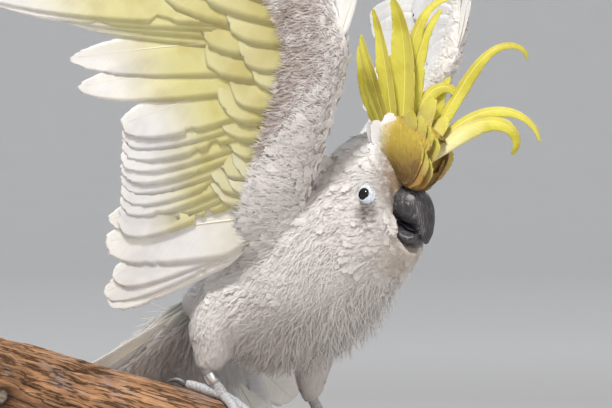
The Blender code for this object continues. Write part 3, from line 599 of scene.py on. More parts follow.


# %% [markdown]
# Plumage is white, but white is never one colour: barbs catch the light as fine streaks, and the
# shade between feathers is cool. Shade is also painted into the colour: on the throat under the
# bill, below the eyes, on the lining under the raised wing, and brown on the forehead under the
# crest, with an orange glow painted where light comes through the crest's yellow bases. Skin and
# feathers read the same colour recipe, so the markings agree.

# %% The colours of the plumage
FOREHEAD = FEET_MIDDLE + Vector((0.168, 0.0, 0.186))
THROAT = FEET_MIDDLE + Vector((0.160, -0.010, 0.118))
CHEEK = FEET_MIDDLE + Vector((0.134, -0.028, 0.152))
LINING = Vector(PLANES["right"].points(0.006, 0.215, 0.010)[0])
UNDER_EYES = [FEET_MIDDLE + Vector((0.1362, side * 0.029, 0.1570)) for side in SIDES.values()]


def plumage_colour(finish):
    """The white of the body, then its marks: each a place, a pattern and a colour. All but the
    cheek's streaked dust are painted shade; the forehead's also paints a glow.
    """
    near, span = finish.near, finish.span
    wide = finish.noise(26.0, detail=3.0)
    fine = finish.noise(900.0, finish.where((1.0, 1.0, 0.45)), detail=2.0)
    shade_blotches = finish.noise(240.0, detail=3.0)
    streaks = finish.noise(1.0, finish.where((170.0, 170.0, 520.0), (0.0, 0.5, 0.0)),
                           detail=3.0, rough=0.65)
    # The forehead's painted crest shadow: brown at its rim, orange near the bill, where light
    # through the crest's yellow bases is painted as a glow.
    gold = finish.mix(near(FOREHEAD, 0.014, 0.032), (0.27, 0.205, 0.150), (0.44, 0.25, 0.06))
    shadow = finish.calc("MAXIMUM", *(near(spot, 0.003, 0.0125) for spot in UNDER_EYES))
    colour = finish.mix(span(wide, 0.38, 0.66), (0.885, 0.86, 0.84), (0.80, 0.76, 0.735))
    colour = finish.mix(span(fine, 0.35, 0.7, 0.0, 0.16), colour, (0.66, 0.64, 0.63))
    for place, pattern, tone in (
            (near(FOREHEAD, 0.027, 0.044), span(shade_blotches, 0.20, 0.58, 0.1, 0.95), gold),
            # Painted shade on the throat under the bill.
            (near(THROAT, 0.006, 0.036), 0.55, (0.50, 0.40, 0.28)),
            # A painted shade patch below the right eye.
            (near(CHEEK, 0.004, 0.024), span(shade_blotches, 0.52, 0.66, 0.0, 0.55), (0.34, 0.26, 0.15)),
            (near(CHEEK, 0.016, 0.056), span(streaks, 0.46, 0.66, 0.0, 0.62), (0.38, 0.31, 0.25)),
            (shadow, span(streaks, 0.30, 0.55, 0.6, 1.0), (0.11, 0.085, 0.065)),
            # Painted shade on the lining under the raised right wing.
            (near(LINING, 0.024, 0.062), span(wide, 0.30, 0.60, 0.35, 0.85), (0.50, 0.44, 0.42))):
        colour = finish.mix(finish.times(place, pattern), colour, tone)
    return colour


def tuft_barbs(finish, tuft):
    """Fine streaks on each tuft that slant out from its middle towards its tip."""
    slant = finish.calc("SUBTRACT", tuft[1], finish.times(finish.off_middle(tuft[2]), 1.3))
    spot = finish.join(finish.times(slant, 13.0), finish.times(tuft[2], 3.0),
                       finish.times(tuft[0], 60.0))
    return finish.noise(1.0, spot, detail=2.5, rough=0.6)


def make_plumage(name, tufted):
    finish = Finish(name, Roughness=0.82, Sheen_Weight=0.2, Sheen_Roughness=0.5,
                    Specular_IOR_Level=0.15, Subsurface_Weight=0.35,
                    Subsurface_Radius=(1.0, 0.85, 0.75), Subsurface_Scale=0.002)
    colour = plumage_colour(finish)
    if tufted:
        tuft = finish.split(finish.own("Tuft"))
        barbs = tuft_barbs(finish, tuft)
        colour = finish.mix(finish.times(tuft[0], 0.12), colour, (0.62, 0.58, 0.56))
        colour = finish.mix(finish.span(barbs, 0.56, 0.34, 0.0, 0.22), colour, (0.60, 0.55, 0.52))
        finish.bump(barbs, 0.0002, 0.5)
    else:
        finish.bump(finish.noise(1500.0, detail=2.0), 0.0001, 0.3)
    finish.colour(colour)
    return finish.material


skin_finish = make_plumage("skin_plumage", False)
tuft_finish = make_plumage("tuft_plumage", True)
skin = declare(make_skin(skin_finish), "body_feathers", "torso", "neck", "head",
               "thigh_right", "thigh_left")
skin_tree = BVHTree.FromPolygons([v.co for v in skin.data.vertices],
                                 [p.vertices for p in skin.data.polygons])

# %% [markdown]
# A body feather is a small leaf with a loose, notched fringe. Thousands of them overlap like
# tiles, each lying back over the next. They are written as arrays: one leaf of 32 faces is
# placed along a short bent spine at every root. Each is a closed thin solid, not a card.

# %% One leaf and one lock
LEAF_EDGE = ((0.15, 0.34), (0.40, 0.50), (0.52, 0.37), (0.68, 0.46), (0.75, 0.28), (0.90, 0.29),
             (0.92, 0.10))
LEAF_SPINE = (0.38, 0.74)


def leaf_form():
    """Corner places (along, across, height) and triangles of a notched leaf."""
    corners = [(0.0, 0.0, 0.0), (1.0, 0.0, 0.0)]
    corners += [(t, 0.0, 0.10) for t in LEAF_SPINE]
    corners += [(t, s, -0.16 * s * s) for t, s in LEAF_EDGE]
    corners += [(t, -s, -0.16 * s * s) for t, s in LEAF_EDGE]
    count = len(LEAF_EDGE)
    left = [0] + [4 + k for k in range(count)] + [1]
    right = [0] + [4 + count + k for k in range(count)] + [1]
    spine = [0, 2, 3, 1]
    faces = []
    for edge, flip in ((left, False), (right, True)):
        i = j = 0
        while i < len(edge) - 1 or j < len(spine) - 1:
            on_edge = j == len(spine) - 1 or (
                i < len(edge) - 1 and corners[edge[i + 1]][0] <= corners[spine[j + 1]][0])
            if on_edge:
                trio = (spine[j], edge[i + 1], edge[i])
                i += 1
            else:
                trio = (spine[j], spine[j + 1], edge[i])
                j += 1
            if len(set(trio)) == 3:
                faces.append(trio[::-1] if flip else trio)
    for k in range(len(left) - 1):
        low_left, low_right, high_left, high_right = left[k], right[k], left[k + 1], right[k + 1]
        if low_left != low_right:
            faces.append((low_left, high_left, low_right))
        if high_left != high_right:
            faces.append((low_right, high_left, high_right))
    return np.array(corners), np.array(faces)


def lock_form():
    """A narrow closed blade that tapers to a point, with a low ridge."""
    corners = [(0.0, 0.0, 0.0), (1.0, 0.0, 0.0), (0.30, 0.5, 0.0), (0.30, -0.5, 0.0),
               (0.70, 0.36, 0.0), (0.70, -0.36, 0.0), (0.30, 0.0, 0.30), (0.70, 0.0, 0.22)]
    faces = [(0, 6, 2), (0, 3, 6), (2, 6, 7), (2, 7, 4), (6, 3, 5), (6, 5, 7), (4, 7, 1), (7, 5, 1),
             (0, 2, 3), (3, 2, 4), (3, 4, 5), (5, 4, 1)]
    return np.array(corners), np.array(faces)


LEAF = (*leaf_form(), 18)
LOCK = (*lock_form(), 8)
print("leaf:", len(LEAF[1]), "faces, lock:", len(LOCK[1]), "faces")


# %% Roots in rows over a surface
RING_MARKS = 97
ROW_STEP = 0.004
ROW_PITCH = 0.9
SCATTER = 0.28


def root_rows(surface, spacing, dice, start, end):
    """Places (along, around) in staggered rows, a spacing apart on the surface."""
    turn = np.linspace(0.0, 1.0, RING_MARKS)
    alongs, arounds = [], []
    along = start
    row = 0
    while along < end:
        ring = surface(np.full(RING_MARKS, along), turn)
        step = surface(np.full(RING_MARKS, min(1.0, along + ROW_STEP)), turn)
        size = np.linalg.norm(np.diff(ring, axis=0), axis=1)
        length = np.concatenate([[0.0], np.cumsum(size)])
        gap = float(np.interp(along, *spacing))
        count = max(3, int(length[-1] / gap))
        marks = np.arange(count) + 0.5 * (row % 2) + dice.uniform(-SCATTER, SCATTER, count)
        arounds.append(np.interp(marks / count % 1.0 * length[-1], length, turn))
        pace = max(0.05, float(np.mean(np.linalg.norm(step - ring, axis=1))) / ROW_STEP)
        alongs.append(np.full(count, along) + dice.uniform(-SCATTER, SCATTER, count) * gap / pace)
        along += ROW_PITCH * gap / pace
        row += 1
    return np.clip(np.concatenate(alongs), start, end), np.concatenate(arounds)


def surface_roots(surface, spacing, dice, start, end):
    """Roots in rows: their places, points, normals and ways along the surface."""
    along, around = root_rows(surface, spacing, dice, start, end)
    points = surface(along, around)
    ahead = (surface(np.minimum(along + 0.003, 1.0), around)
             - surface(np.maximum(along - 0.003, 0.0), around))
    aside = surface(along, around + 0.004) - surface(along, around - 0.004)
    normals = unit(np.cross(ahead, aside))
    middle = surface(along, around + 0.5)
    flip = np.sign(np.sum(normals * (points - middle), axis=1, keepdims=True))
    return along, around, points, normals * np.where(flip == 0, 1.0, flip), ahead


def settle(points, normals, limit, ground):
    """Move points to the ground; those too far from it, under another part, are dropped."""
    places = np.array(points)
    facings = np.array(normals)
    keep = np.ones(len(points), bool)
    for k, point in enumerate(points):
        hit, normal, _, away = ground.find_nearest(Vector(point))
        places[k] = hit
        same = np.dot(facings[k], normal) > 0.0
        if same:
            facings[k] = unit(facings[k] + np.array(normal))
        keep[k] = not limit or (away < limit and same)
    return places, facings, keep


# %% Build a coat as arrays
TUFT_THICKNESS = 0.0006
ROUNDNESS = 0.26
CHART_SPREAD = 0.003
ROOT_DEPTH = 0.0004
PIECE_TRIANGLES = 179200


def coat_mesh(name, form, start, finish, facing, end_facing, width, lift, tuft, patch, material):
    """Every tuft of one piece: its spine bends from root to tip, its leaf lies across it."""
    corners, faces, tops = form
    t, across, height = (corners[:, k][None, :, None] for k in range(3))
    reach = np.linalg.norm(finish - start, axis=1)[:, None]
    turned = (1.0 - np.sum(facing * end_facing, axis=1))[:, None]
    middle = (start + finish) / 2 + unit(facing + end_facing) * (
        lift[:, None] * 0.45 + 0.12 * reach * turned)
    tip = finish + end_facing * lift[:, None]
    spine = ((1 - t) ** 2 * start[:, None] + 2 * t * (1 - t) * middle[:, None]
             + t ** 2 * tip[:, None])
    upward = unit((1 - t) * facing[:, None] + t * end_facing[:, None])
    sideways = unit(np.cross(upward, unit(tip - start)[:, None]))
    points = spine + sideways * across * width[:, None, None] + upward * height * TUFT_THICKNESS
    number, count = len(start), len(corners)
    mesh = bpy.data.meshes.new(name)
    mesh.vertices.add(number * count)
    mesh.vertices.foreach_set("co", points.astype(np.float32).ravel())
    loops = (faces[None] + (np.arange(number) * count)[:, None, None]).ravel()
    mesh.loops.add(len(loops))
    mesh.loops.foreach_set("vertex_index", loops.astype(np.int32))
    mesh.polygons.add(len(loops) // 3)
    mesh.polygons.foreach_set("loop_start", np.arange(0, len(loops), 3, dtype=np.int32))
    mesh.polygons.foreach_set("loop_total", np.full(len(loops) // 3, 3, dtype=np.int32))
    mesh.update(calc_edges=True)
    spread = np.stack([corners[:, 0] - 0.5, corners[:, 1]], axis=1) * CHART_SPREAD
    chart = (patch[:, None] + spread[None]).reshape(-1, 2)[loops]
    uv_map = mesh.uv_layers.new(name="OFBake")
    uv_map.data.foreach_set("uv", chart.astype(np.float32).ravel())
    tone = np.ones((number, count, 4))
    tone[:, :, 0] = tuft[:, None, 0]
    tone[:, :, 1] = corners[None, :, 0]
    tone[:, :, 2] = corners[None, :, 1] + 0.5
    tone[:, :, 3] = tuft[:, None, 1]
    colours = mesh.attributes.new("Tuft", "FLOAT_COLOR", "POINT")
    colours.data.foreach_set("color", tone.astype(np.float32).ravel())
    rounded = unit(upward + sideways * across * ROUNDNESS)[:, faces]
    rounded[:, tops:] *= -1.0
    mesh.normals_split_custom_set(rounded.reshape(-1, 3).tolist())
    piece = bpy.data.objects.new(name, mesh)
    bpy.context.scene.collection.objects.link(piece)
    mesh.materials.append(material)
    return piece


def grow_coat(name, surface, chart, spacing, length, width, lift, *, way, seed, nodes, form=LEAF,
              start=0.0, end=1.0, yaw=0.22, limit=0.0035, choose=None, tint=None, facing=None,
              slot="body_feathers", material=tuft_finish, given=None, ground=skin_tree):
    """Rows of tufts over one surface, split into pieces of a modest size."""
    dice = np.random.default_rng(seed)
    found = given or surface_roots(surface, spacing, dice, start, end)
    if choose:
        kept = choose(*found)
        found = tuple(values[kept] for values in found)
    along, around, points, normals, ahead = found
    if facing is None:
        roots, facings, keep = settle(points, normals, limit, ground)
        along, around, roots, facings, ahead = (
            values[keep] for values in (along, around, roots, facings, ahead))
    else:
        roots, facings = points, np.tile(facing, (len(points), 1))
    heading = way(roots, unit(ahead), along, around)
    heading = unit(heading - facings * np.sum(heading * facings, axis=1, keepdims=True))
    cross = np.cross(facings, heading)
    number = len(roots)
    turn = dice.normal(0.0, yaw, number)[:, None]
    heading = heading * np.cos(turn) + cross * np.sin(turn)
    reach = np.interp(along, *length) * dice.uniform(0.8, 1.2, number)
    loose = roots + heading * reach[:, None]
    tips, tip_facings, _ = settle(loose, facings, 0.0, ground)
    turned = (np.sum(facings * tip_facings, axis=1) < 0.35) | (facing is not None)
    tips[turned] = loose[turned]
    tip_facings[turned] = facings[turned]
    raised = np.interp(along, *lift) * dice.uniform(0.55, 1.35, number)
    wide = np.interp(along, *width) * dice.uniform(0.85, 1.15, number)
    tuft = np.stack([dice.random(number), tint(along) if tint else np.zeros(number)], axis=1)
    low, high = np.array(chart[0]), np.array(chart[1])
    patch = low + np.stack([around % 1.0, along], axis=1) * (high - low)
    starts = roots - facings * ROOT_DEPTH
    pieces = max(1, math.ceil(number * len(form[1]) / PIECE_TRIANGLES))
    for k, part in enumerate(np.array_split(np.arange(number), pieces)):
        rows = (values[part] for values in (starts, tips, facings, tip_facings, wide, raised,
                                            tuft, patch))
        declare(coat_mesh(f"{name}_{k + 1}", form, *rows, material), slot, *nodes)
    print(name, number, "tufts")


def grow_coats(coats, surface, chart, label="", number=0, **shared):
    """Grow each coat of a table: its seed, its sizes along the surface, its own settings."""
    for name, (seed, *sizes, own) in coats.items():
        grow_coat(name + label, surface, chart, *sizes, seed=seed + number, **{**shared, **own})


def even(first, last):
    """A size that changes evenly along a surface."""
    return (0.0, 1.0), (first, last)


# %% [markdown]
# Feathers lie back from the bill over the head, down the neck and breast, and towards the
# tail. On the legs they point down. On the arm they run back from the leading edge, on the
# upper and the under face alike. They are shortest on the face and longest on the trunk.

# %% The coat of head, neck and trunk
FLESH = ("torso", "neck", "head", "thigh_right", "thigh_left")
EYE_PLACE = (0.1355, 0.1710)
EYE_RING = 0.0082
EYE_AHEAD, EYE_ABOVE, EYE_BELOW = 0.62, 0.86, 0.94
BED_BACK, BED_HALF, BED_LOW, BED_HIGH = 0.136, 0.0118, 0.1405, 0.1755
FACE_REACH = 0.050
FACE_SHARE = 0.85


def body_choice(along, around, points, normals, ahead, room=0.0):
    """Keep roots off the bare rings of the eyes and out of the bill's bed."""
    x, y, z = (points - FEET).T
    ring = np.hypot((x - EYE_PLACE[0]) * np.where(x > EYE_PLACE[0], EYE_AHEAD, 1.0),
                    (z - EYE_PLACE[1]) * np.where(z > EYE_PLACE[1], EYE_ABOVE, EYE_BELOW))
    bed = (x > BED_BACK) & (np.abs(y) < BED_HALF) & (z > BED_LOW) & (z < BED_HIGH)
    return (ring > EYE_RING + room) & ~bed


def neck_choice(*found):
    """The same, a little farther from the eyes."""
    return body_choice(*found, room=0.006)


def belly_choice(along, around, points, normals, ahead):
    """Roots on the underside only."""
    return normals[:, 2] < -0.45


def body_way(roots, ahead, along, around):
    """Back along the body, hanging a little on the sides, fanned round the face."""
    way = ahead.copy()
    way[:, 2] -= 0.18
    face = np.clip((0.16 - along) / 0.16, 0.0, 1.0)[:, None]
    away = unit(roots - (FACE_CENTRE + np.array((0.004, 0.0, 0.004))))
    return way * (1 - 0.7 * face) + away * face


def belly_way(roots, ahead, along, around):
    return ahead * 0.6 - np.array(UP)


def plain_way(roots, ahead, along, around):
    return ahead


# Each coat: its seed, then spacing, length, width and lift by place along, then the rest.
BODY_COATS = {
    "body_coat": (
        3, ((0.0, 0.10, 0.22, 0.34, 0.5, 1.0), (0.0014, 0.0017, 0.0022, 0.0028, 0.0033, 0.0034)),
        ((0.0, 0.08, 0.2, 0.34, 0.5, 0.8, 1.0),
         (0.0045, 0.0065, 0.010, 0.015, 0.021, 0.024, 0.028)),
        ((0.0, 0.08, 0.2, 0.34, 0.5, 1.0), (0.0020, 0.0026, 0.0036, 0.0050, 0.0068, 0.0075)),
        ((0.0, 0.2, 0.4, 0.6, 1.0), (0.0006, 0.0009, 0.0014, 0.0018, 0.0017)),
        dict(choose=body_choice, limit=0.005)),
    "body_down": (
        4, ((0.0, 0.10, 0.22, 0.34, 0.5, 1.0), (0.0009, 0.0010, 0.0012, 0.0015, 0.0018, 0.0020)),
        ((0.0, 0.08, 0.2, 0.34, 0.5, 1.0), (0.0042, 0.0060, 0.0085, 0.012, 0.016, 0.018)),
        ((0.0, 0.1, 0.3, 0.5, 1.0), (0.0007, 0.0008, 0.0011, 0.0014, 0.0016)),
        ((0.0, 0.2, 0.4, 0.6, 1.0), (0.0009, 0.0014, 0.0021, 0.0026, 0.0024)),
        dict(form=LOCK, yaw=0.34, choose=body_choice)),
    "body_wisps": (
        5, ((0.0, 0.3, 0.5, 1.0), (0.0048, 0.0056, 0.0046, 0.0050)),
        ((0.0, 0.2, 0.5, 1.0), (0.007, 0.011, 0.025, 0.030)), even(0.0007, 0.0010),
        ((0.0, 0.2, 0.5, 1.0), (0.0018, 0.0026, 0.0042, 0.0046)),
        dict(form=LOCK, yaw=0.5, choose=body_choice)),
    "neck_tufts": (
        9, even(0.0068, 0.0085), ((0.0, 0.2, 1.0), (0.010, 0.015, 0.021)),
        ((0.0, 0.2, 1.0), (0.0062, 0.0086, 0.0105)), ((0.0, 0.2, 1.0), (0.0016, 0.0028, 0.0034)),
        dict(yaw=0.5, start=0.13, end=0.46, choose=neck_choice)),
    "belly_tufts": (
        6, even(0.0030, 0.0030), even(0.014, 0.014), even(0.0010, 0.0010),
        ((0.0, 0.4, 0.6, 1.0), (0.003, 0.005, 0.013, 0.010)),
        dict(way=belly_way, form=LOCK, yaw=0.6, start=0.40, end=0.86, choose=belly_choice)),
}
FACE_SIZES = (((0.4, 0.7, 1.0), (0.0046, 0.0062, 0.0080)), ((0.4, 1.0), (0.0017, 0.0024)),
              ((0.4, 1.0), (0.0007, 0.0012)))
grow_coats(BODY_COATS, body_surface, ((0.01, 0.01), (0.60, 0.99)), way=body_way, nodes=FLESH)

SKIN_PLACES = np.array([v.co for v in skin.data.vertices] + [p.center for p in skin.data.polygons])
SKIN_FACINGS = np.array([v.normal for v in skin.data.vertices]
                        + [p.normal for p in skin.data.polygons])


def face_roots():
    """The skin's own corners and faces round the bill as roots, with a chart of two angles."""
    spot = SKIN_PLACES - FEET
    apart = SKIN_PLACES - FACE_CENTRE
    reach = np.linalg.norm(apart, axis=1)
    kept = (reach < FACE_REACH) & (spot[:, 0] > 0.118) & (spot[:, 2] > 0.112)
    kept &= np.random.default_rng(8).random(len(reach)) < FACE_SHARE
    away = unit(apart[kept])
    along = np.clip(reach[kept] / FACE_REACH, 0.0, 1.0)
    around = (np.arctan2(away[:, 2], away[:, 1]) / FULL_TURN) % 1.0
    ahead = unit(away + np.array((-1.0, 0.0, -0.35)) * along[:, None])
    return along, around, SKIN_PLACES[kept], SKIN_FACINGS[kept], ahead


grow_coat("face_coat", None, ((0.62, 0.97), (0.78, 0.99)), None, *FACE_SIZES, way=plain_way,
          seed=7, nodes=FLESH, yaw=0.25, choose=body_choice, given=face_roots())

# %% The coat of the legs and the arms
THIGH_COATS = {
    "thigh_coat_": (
        11, ((0.0, 0.7, 1.0), (0.0031, 0.0026, 0.0019)),
        ((0.0, 0.5, 0.8, 1.0), (0.018, 0.014, 0.009, 0.006)),
        ((0.0, 0.5, 1.0), (0.0056, 0.0046, 0.0028)), ((0.0, 0.5, 1.0), (0.0015, 0.0013, 0.0009)),
        {}),
    "thigh_down_": (
        15, even(0.0021, 0.0015), ((0.0, 0.8, 1.0), (0.015, 0.010, 0.007)),
        even(0.0014, 0.0009), even(0.0021, 0.0012), dict(form=LOCK, yaw=0.3)),
}
for number, label in enumerate(SIDES):
    grow_coats(THIGH_COATS, thigh_surface(label),
               ((0.62, 0.01 + 0.3 * number), (0.78, 0.30 + 0.3 * number)), label, number,
               way=plain_way, nodes=FLESH)


def edge_choice(along, around, points, normals, ahead):
    """Roots along the leading edge only."""
    return np.abs((around + 0.5) % 1.0 - 0.5) < 0.10


ARM_SHARE = 0.18
ARM_BOTTOM, ARM_LENGTH = -0.046, 0.272
ARM_SIZES = (((0.0, 0.25, 0.6, 1.0), (0.022, 0.020, 0.017, 0.014)),
             ((0.0, 0.5, 1.0), (0.0080, 0.0078, 0.0072)),
             ((0.0, 0.5, 1.0), (0.0028, 0.0022, 0.0018)))
ARM_COATS = {
    "arm_down_": (
        25, even(0.0022, 0.0021), ((0.0, 0.3, 1.0), (0.018, 0.016, 0.012)),
        even(0.0010, 0.0009), ((0.0, 0.3, 1.0), (0.0056, 0.0050, 0.0036)),
        dict(form=LOCK, yaw=0.42, limit=0.010)),
    "arm_tufts_": (
        29, even(0.0090, 0.0080), even(0.019, 0.015), even(0.0115, 0.0095),
        even(0.0038, 0.0032), dict(yaw=0.60, limit=0.010)),
    "arm_edge_": (
        39, even(0.0034, 0.0034), even(0.012, 0.010), even(0.0090, 0.0075),
        even(0.0030, 0.0026), dict(yaw=0.9, limit=0.012, choose=edge_choice)),
}


def arm_way(plane):
    def way(roots, ahead, along, around):
        """Back over both faces, parting at the leading edge; back and down at the shoulder."""
        face = np.sign(np.sin(FULL_TURN * around))[:, None]
        low = np.clip((0.26 - along) / 0.18, 0.0, 1.0)[:, None]
        arm = plane.back + plane.up * 0.35 + plane.under * face * 0.7
        return arm * (1.0 - low) + np.array((-1.0, 0.0, -0.35)) * low

    return way


def arm_roots(plane):
    """The skin's own corners and faces on one arm and its shoulder as roots."""
    sections = np.array(ARM_SECTIONS)
    apart = SKIN_PLACES - plane.origin
    up, forward = apart @ plane.up, -(apart @ plane.back)
    rear, lead = (np.interp(up, sections[:, 0], sections[:, k]) for k in (1, 2))
    kept = ((SKIN_PLACES[:, 1] - FEET[1]) * plane.side > 0.026) & (up > -0.050)
    kept &= (forward > rear - 0.010) & (forward < lead + 0.012)
    kept &= np.random.default_rng(19).random(len(up)) < ARM_SHARE
    across = np.clip((lead - forward) / (lead - rear), 0.0, 1.0) * 0.5
    around = np.where(SKIN_FACINGS @ plane.under > 0, across, 1.0 - across) % 1.0
    along = np.clip((up - ARM_BOTTOM) / ARM_LENGTH, 0.0, 1.0)
    ahead = np.tile(plane.back, (len(up), 1))
    return tuple(values[kept] for values in (along, around, SKIN_PLACES, SKIN_FACINGS, ahead))


for number, label in enumerate(SIDES):
    plane = PLANES[label]
    chart = ((0.80, 0.01 + 0.5 * number), (0.99, 0.49 + 0.5 * number))
    shared = dict(way=arm_way(plane), nodes=(*FLESH, "wing_" + label))
    grow_coat(f"arm_coat_{label}", None, chart, None, *ARM_SIZES, seed=21 + number,
              given=arm_roots(plane), **shared)
    grow_coats(ARM_COATS, arm_surface(label), chart, label, number, **shared)

# %% The soft lining under each wing
LINING_COATS = {
    "lining_": (
        35, even(0.0016, 0.0016), even(0.015, 0.013), even(0.0015, 0.0013),
        even(0.0028, 0.0024), dict(form=LOCK, yaw=0.42)),
}


def lining_sheet(plane):
    """A sheet over the roots of the under coverts, from its rear edge towards the arm."""
    def sheet(along, around):
        rows = rows_at(ARM_SECTIONS, 4.0 + 6.3 * np.atleast_1d(along))
        up, lead = rows[:, 0], rows[:, 2]
        forward = lead - 0.044 + 0.040 * (np.atleast_1d(around) % 1.0001)
        return plane.points(forward, up, span_place(up) * LAYER + 0.0060)

    return sheet


def lining_way(plane):
    return lambda roots, ahead, along, around: np.tile(plane.back + plane.up * 0.12,
                                                       (len(roots), 1))


def make_lining_plumage():
    """Tufts painted a darker pink-grey as shade under the raised wing, some of them white, with
    thin dark shafts.
    """
    finish = Finish("lining_plumage", Roughness=0.8, Sheen_Weight=0.2, Specular_IOR_Level=0.15,
                    Subsurface_Weight=0.3, Subsurface_Radius=(1.0, 0.85, 0.75),
                    Subsurface_Scale=0.002)
    tuft = finish.split(finish.own("Tuft"))
    barbs = tuft_barbs(finish, tuft)
    wide = finish.noise(45.0, detail=2.0)
    # Painted shade: the lining under the raised wing is coloured a darker pink-grey.
    shaded_lining = finish.mix(finish.span(wide, 0.35, 0.65), (0.40, 0.33, 0.28), (0.56, 0.48, 0.45))
    clumps = finish.noise(120.0, detail=2.0)
    colour = finish.mix(finish.span(clumps, 0.40, 0.70), shaded_lining, (0.80, 0.76, 0.72))
    shaft = finish.span(finish.off_middle(tuft[2]), 0.0, 0.07, 1.0, 0.0)
    shaft = finish.times(shaft, finish.span(tuft[0], 0.10, 0.05, 0.0, 0.8))
    colour = finish.mix(shaft, colour, (0.15, 0.14, 0.17))
    streaks = finish.span(barbs, 0.56, 0.34, 0.0, 0.35)
    finish.colour(finish.mix(streaks, colour, (0.42, 0.36, 0.34)))
    finish.bump(barbs, 0.0003, 0.6)
    return finish.material


lining_finish = make_lining_plumage()
for number, (label, plane) in enumerate(PLANES.items()):
    chart = ((0.62, 0.61 + 0.13 * number), (0.78, 0.73 + 0.13 * number))
    grow_coats(LINING_COATS, lining_sheet(plane), chart, label, number, way=lining_way(plane),
               nodes=("wing_" + label,), material=lining_finish, facing=plane.under,
               slot="flight_feathers")

# %% [markdown]
# A flight feather is a stiff quill with two flat vanes, the leading one narrower. The vane is
# a grid bent into place, wide where the feather is wide and nicked where its barbs have
# parted. A map along and across each feather lets the material draw barbs that slant away
# from the quill. The quill is a tapered tube of its own.

# %% Outlines of feathers
def rounded_tip(t):
    return np.minimum(1.0, 0.30 + 2.4 * t) * (1.0 - t ** 5) ** 0.5 + 0.05


def pointed_tip(t):
    return np.minimum(1.0, 0.35 + 2.4 * t) * (1.0 - t ** 4.0) ** 0.70 + 0.04


def tail_tip(t):
    return np.minimum(1.0, 0.22 + 1.1 * t) * (1.0 - t ** 7) ** 0.5 + 0.06


def crest_tip(t):
    wide = 0.62 + 0.38 * np.sin(math.pi * np.minimum(1.0, 1.25 * t))
    return wide * (1 - t ** 4) ** 0.6 + 0.06


# %% A vane and its quill
NICK_PLACES = (0.30, 0.97)
NICK_DEPTHS = (0.06, 0.26)
VANE_THICKNESS = 0.0004
QUILL_SIDES = 5
QUILL_REACH = 0.97


class FeatherSet:
    """Collects the vanes and quills of one group of feathers in two meshes."""

    def __init__(self, seed):
        self.vanes = bmesh.new()
        self.quills = bmesh.new()
        self.barbs = self.vanes.loops.layers.uv.new("Barbs")
        self.tone = self.vanes.verts.layers.float_color.new("Tone")
        self.dice = random.Random(seed)

    def add(self, spot, length, width, outline, steps, nicks, lead=0.36, cells=8, tones=None,
            quill=0.0011, ragged=0.5):
        made, t, row = unit_grid(self.vanes, steps, cells)
        t = 1.0 - (1.0 - t) ** 1.25
        edge = (row < 0.01) | (row > 0.99)
        share = (row - lead) * outline(np.clip(t, 0.0, 1.0))
        for _ in range(nicks):
            place = self.dice.uniform(*NICK_PLACES)
            side = self.dice.choice((-1.0, 1.0))
            depth = self.dice.uniform(*NICK_DEPTHS)
            close = np.exp(-((t - place) * steps / 0.8) ** 2) * (np.sign(share) == side)
            share = share * (1.0 - depth * close * (np.abs(share) / 0.64) ** 1.5)
        jitter = np.array([self.dice.uniform(-1.0, 1.0) for _ in made])
        t = np.clip(t + np.where(edge, jitter * ragged / steps, 0.0), 0.0, 1.0)
        across = share * width
        place_all(made, spot(t, across))
        random_tone = self.dice.random()
        for k, vert in enumerate(made):
            yellow, grey = tones(t[k], share[k]) if tones else (0.0, 0.0)
            vert[self.tone] = (yellow, grey, random_tone, 1.0)
            for loop in vert.link_loops:
                loop[self.barbs].uv = (t[k] * length + 0.37 * random_tone, across[k])
        self.add_quill(spot, quill, steps // 2)

    def add_quill(self, spot, radius, rings):
        made, around, along = unit_grid(self.quills, QUILL_SIDES, rings)
        t = along * QUILL_REACH
        angle = (FULL_TURN * around)[:, None]
        middle = spot(t, 0 * t)
        side = unit(spot(t, 0 * t + 0.001) - middle)
        ahead = unit(spot(t + 0.01, 0 * t) - middle)
        face = np.cross(side, ahead)
        size = (radius * (1.0 - 0.86 * t) + 0.00012)[:, None]
        place_all(made, middle + (side * np.cos(angle) + face * np.sin(angle)) * size)
        bmesh.ops.remove_doubles(self.quills, verts=made, dist=SMALL)

    def close(self, name, slot, node, finishes):
        vanes = finish_mesh(self.vanes, name + "_vanes", finishes[:2])
        declare(thicken(vanes, VANE_THICKNESS, 0.0, 1), slot, node)
        cap_open_rims(self.quills)
        face_outward(self.quills)
        declare(finish_mesh(self.quills, name + "_quills", finishes[2:]), slot, node)


# %% [markdown]
# Barbs are drawn as fine streaks at a slant, mirrored on the two sides of the quill, in both
# colour and bump. The wing's underside is lemon yellow towards the quill's root and white
# at the tips; its upper side stays white. That yellow is stored corner by corner, and so is
# a share of grey: painted shade on the narrow vane of each flight feather and towards the
# roots of the coverts, and a faint even grey on the tail.

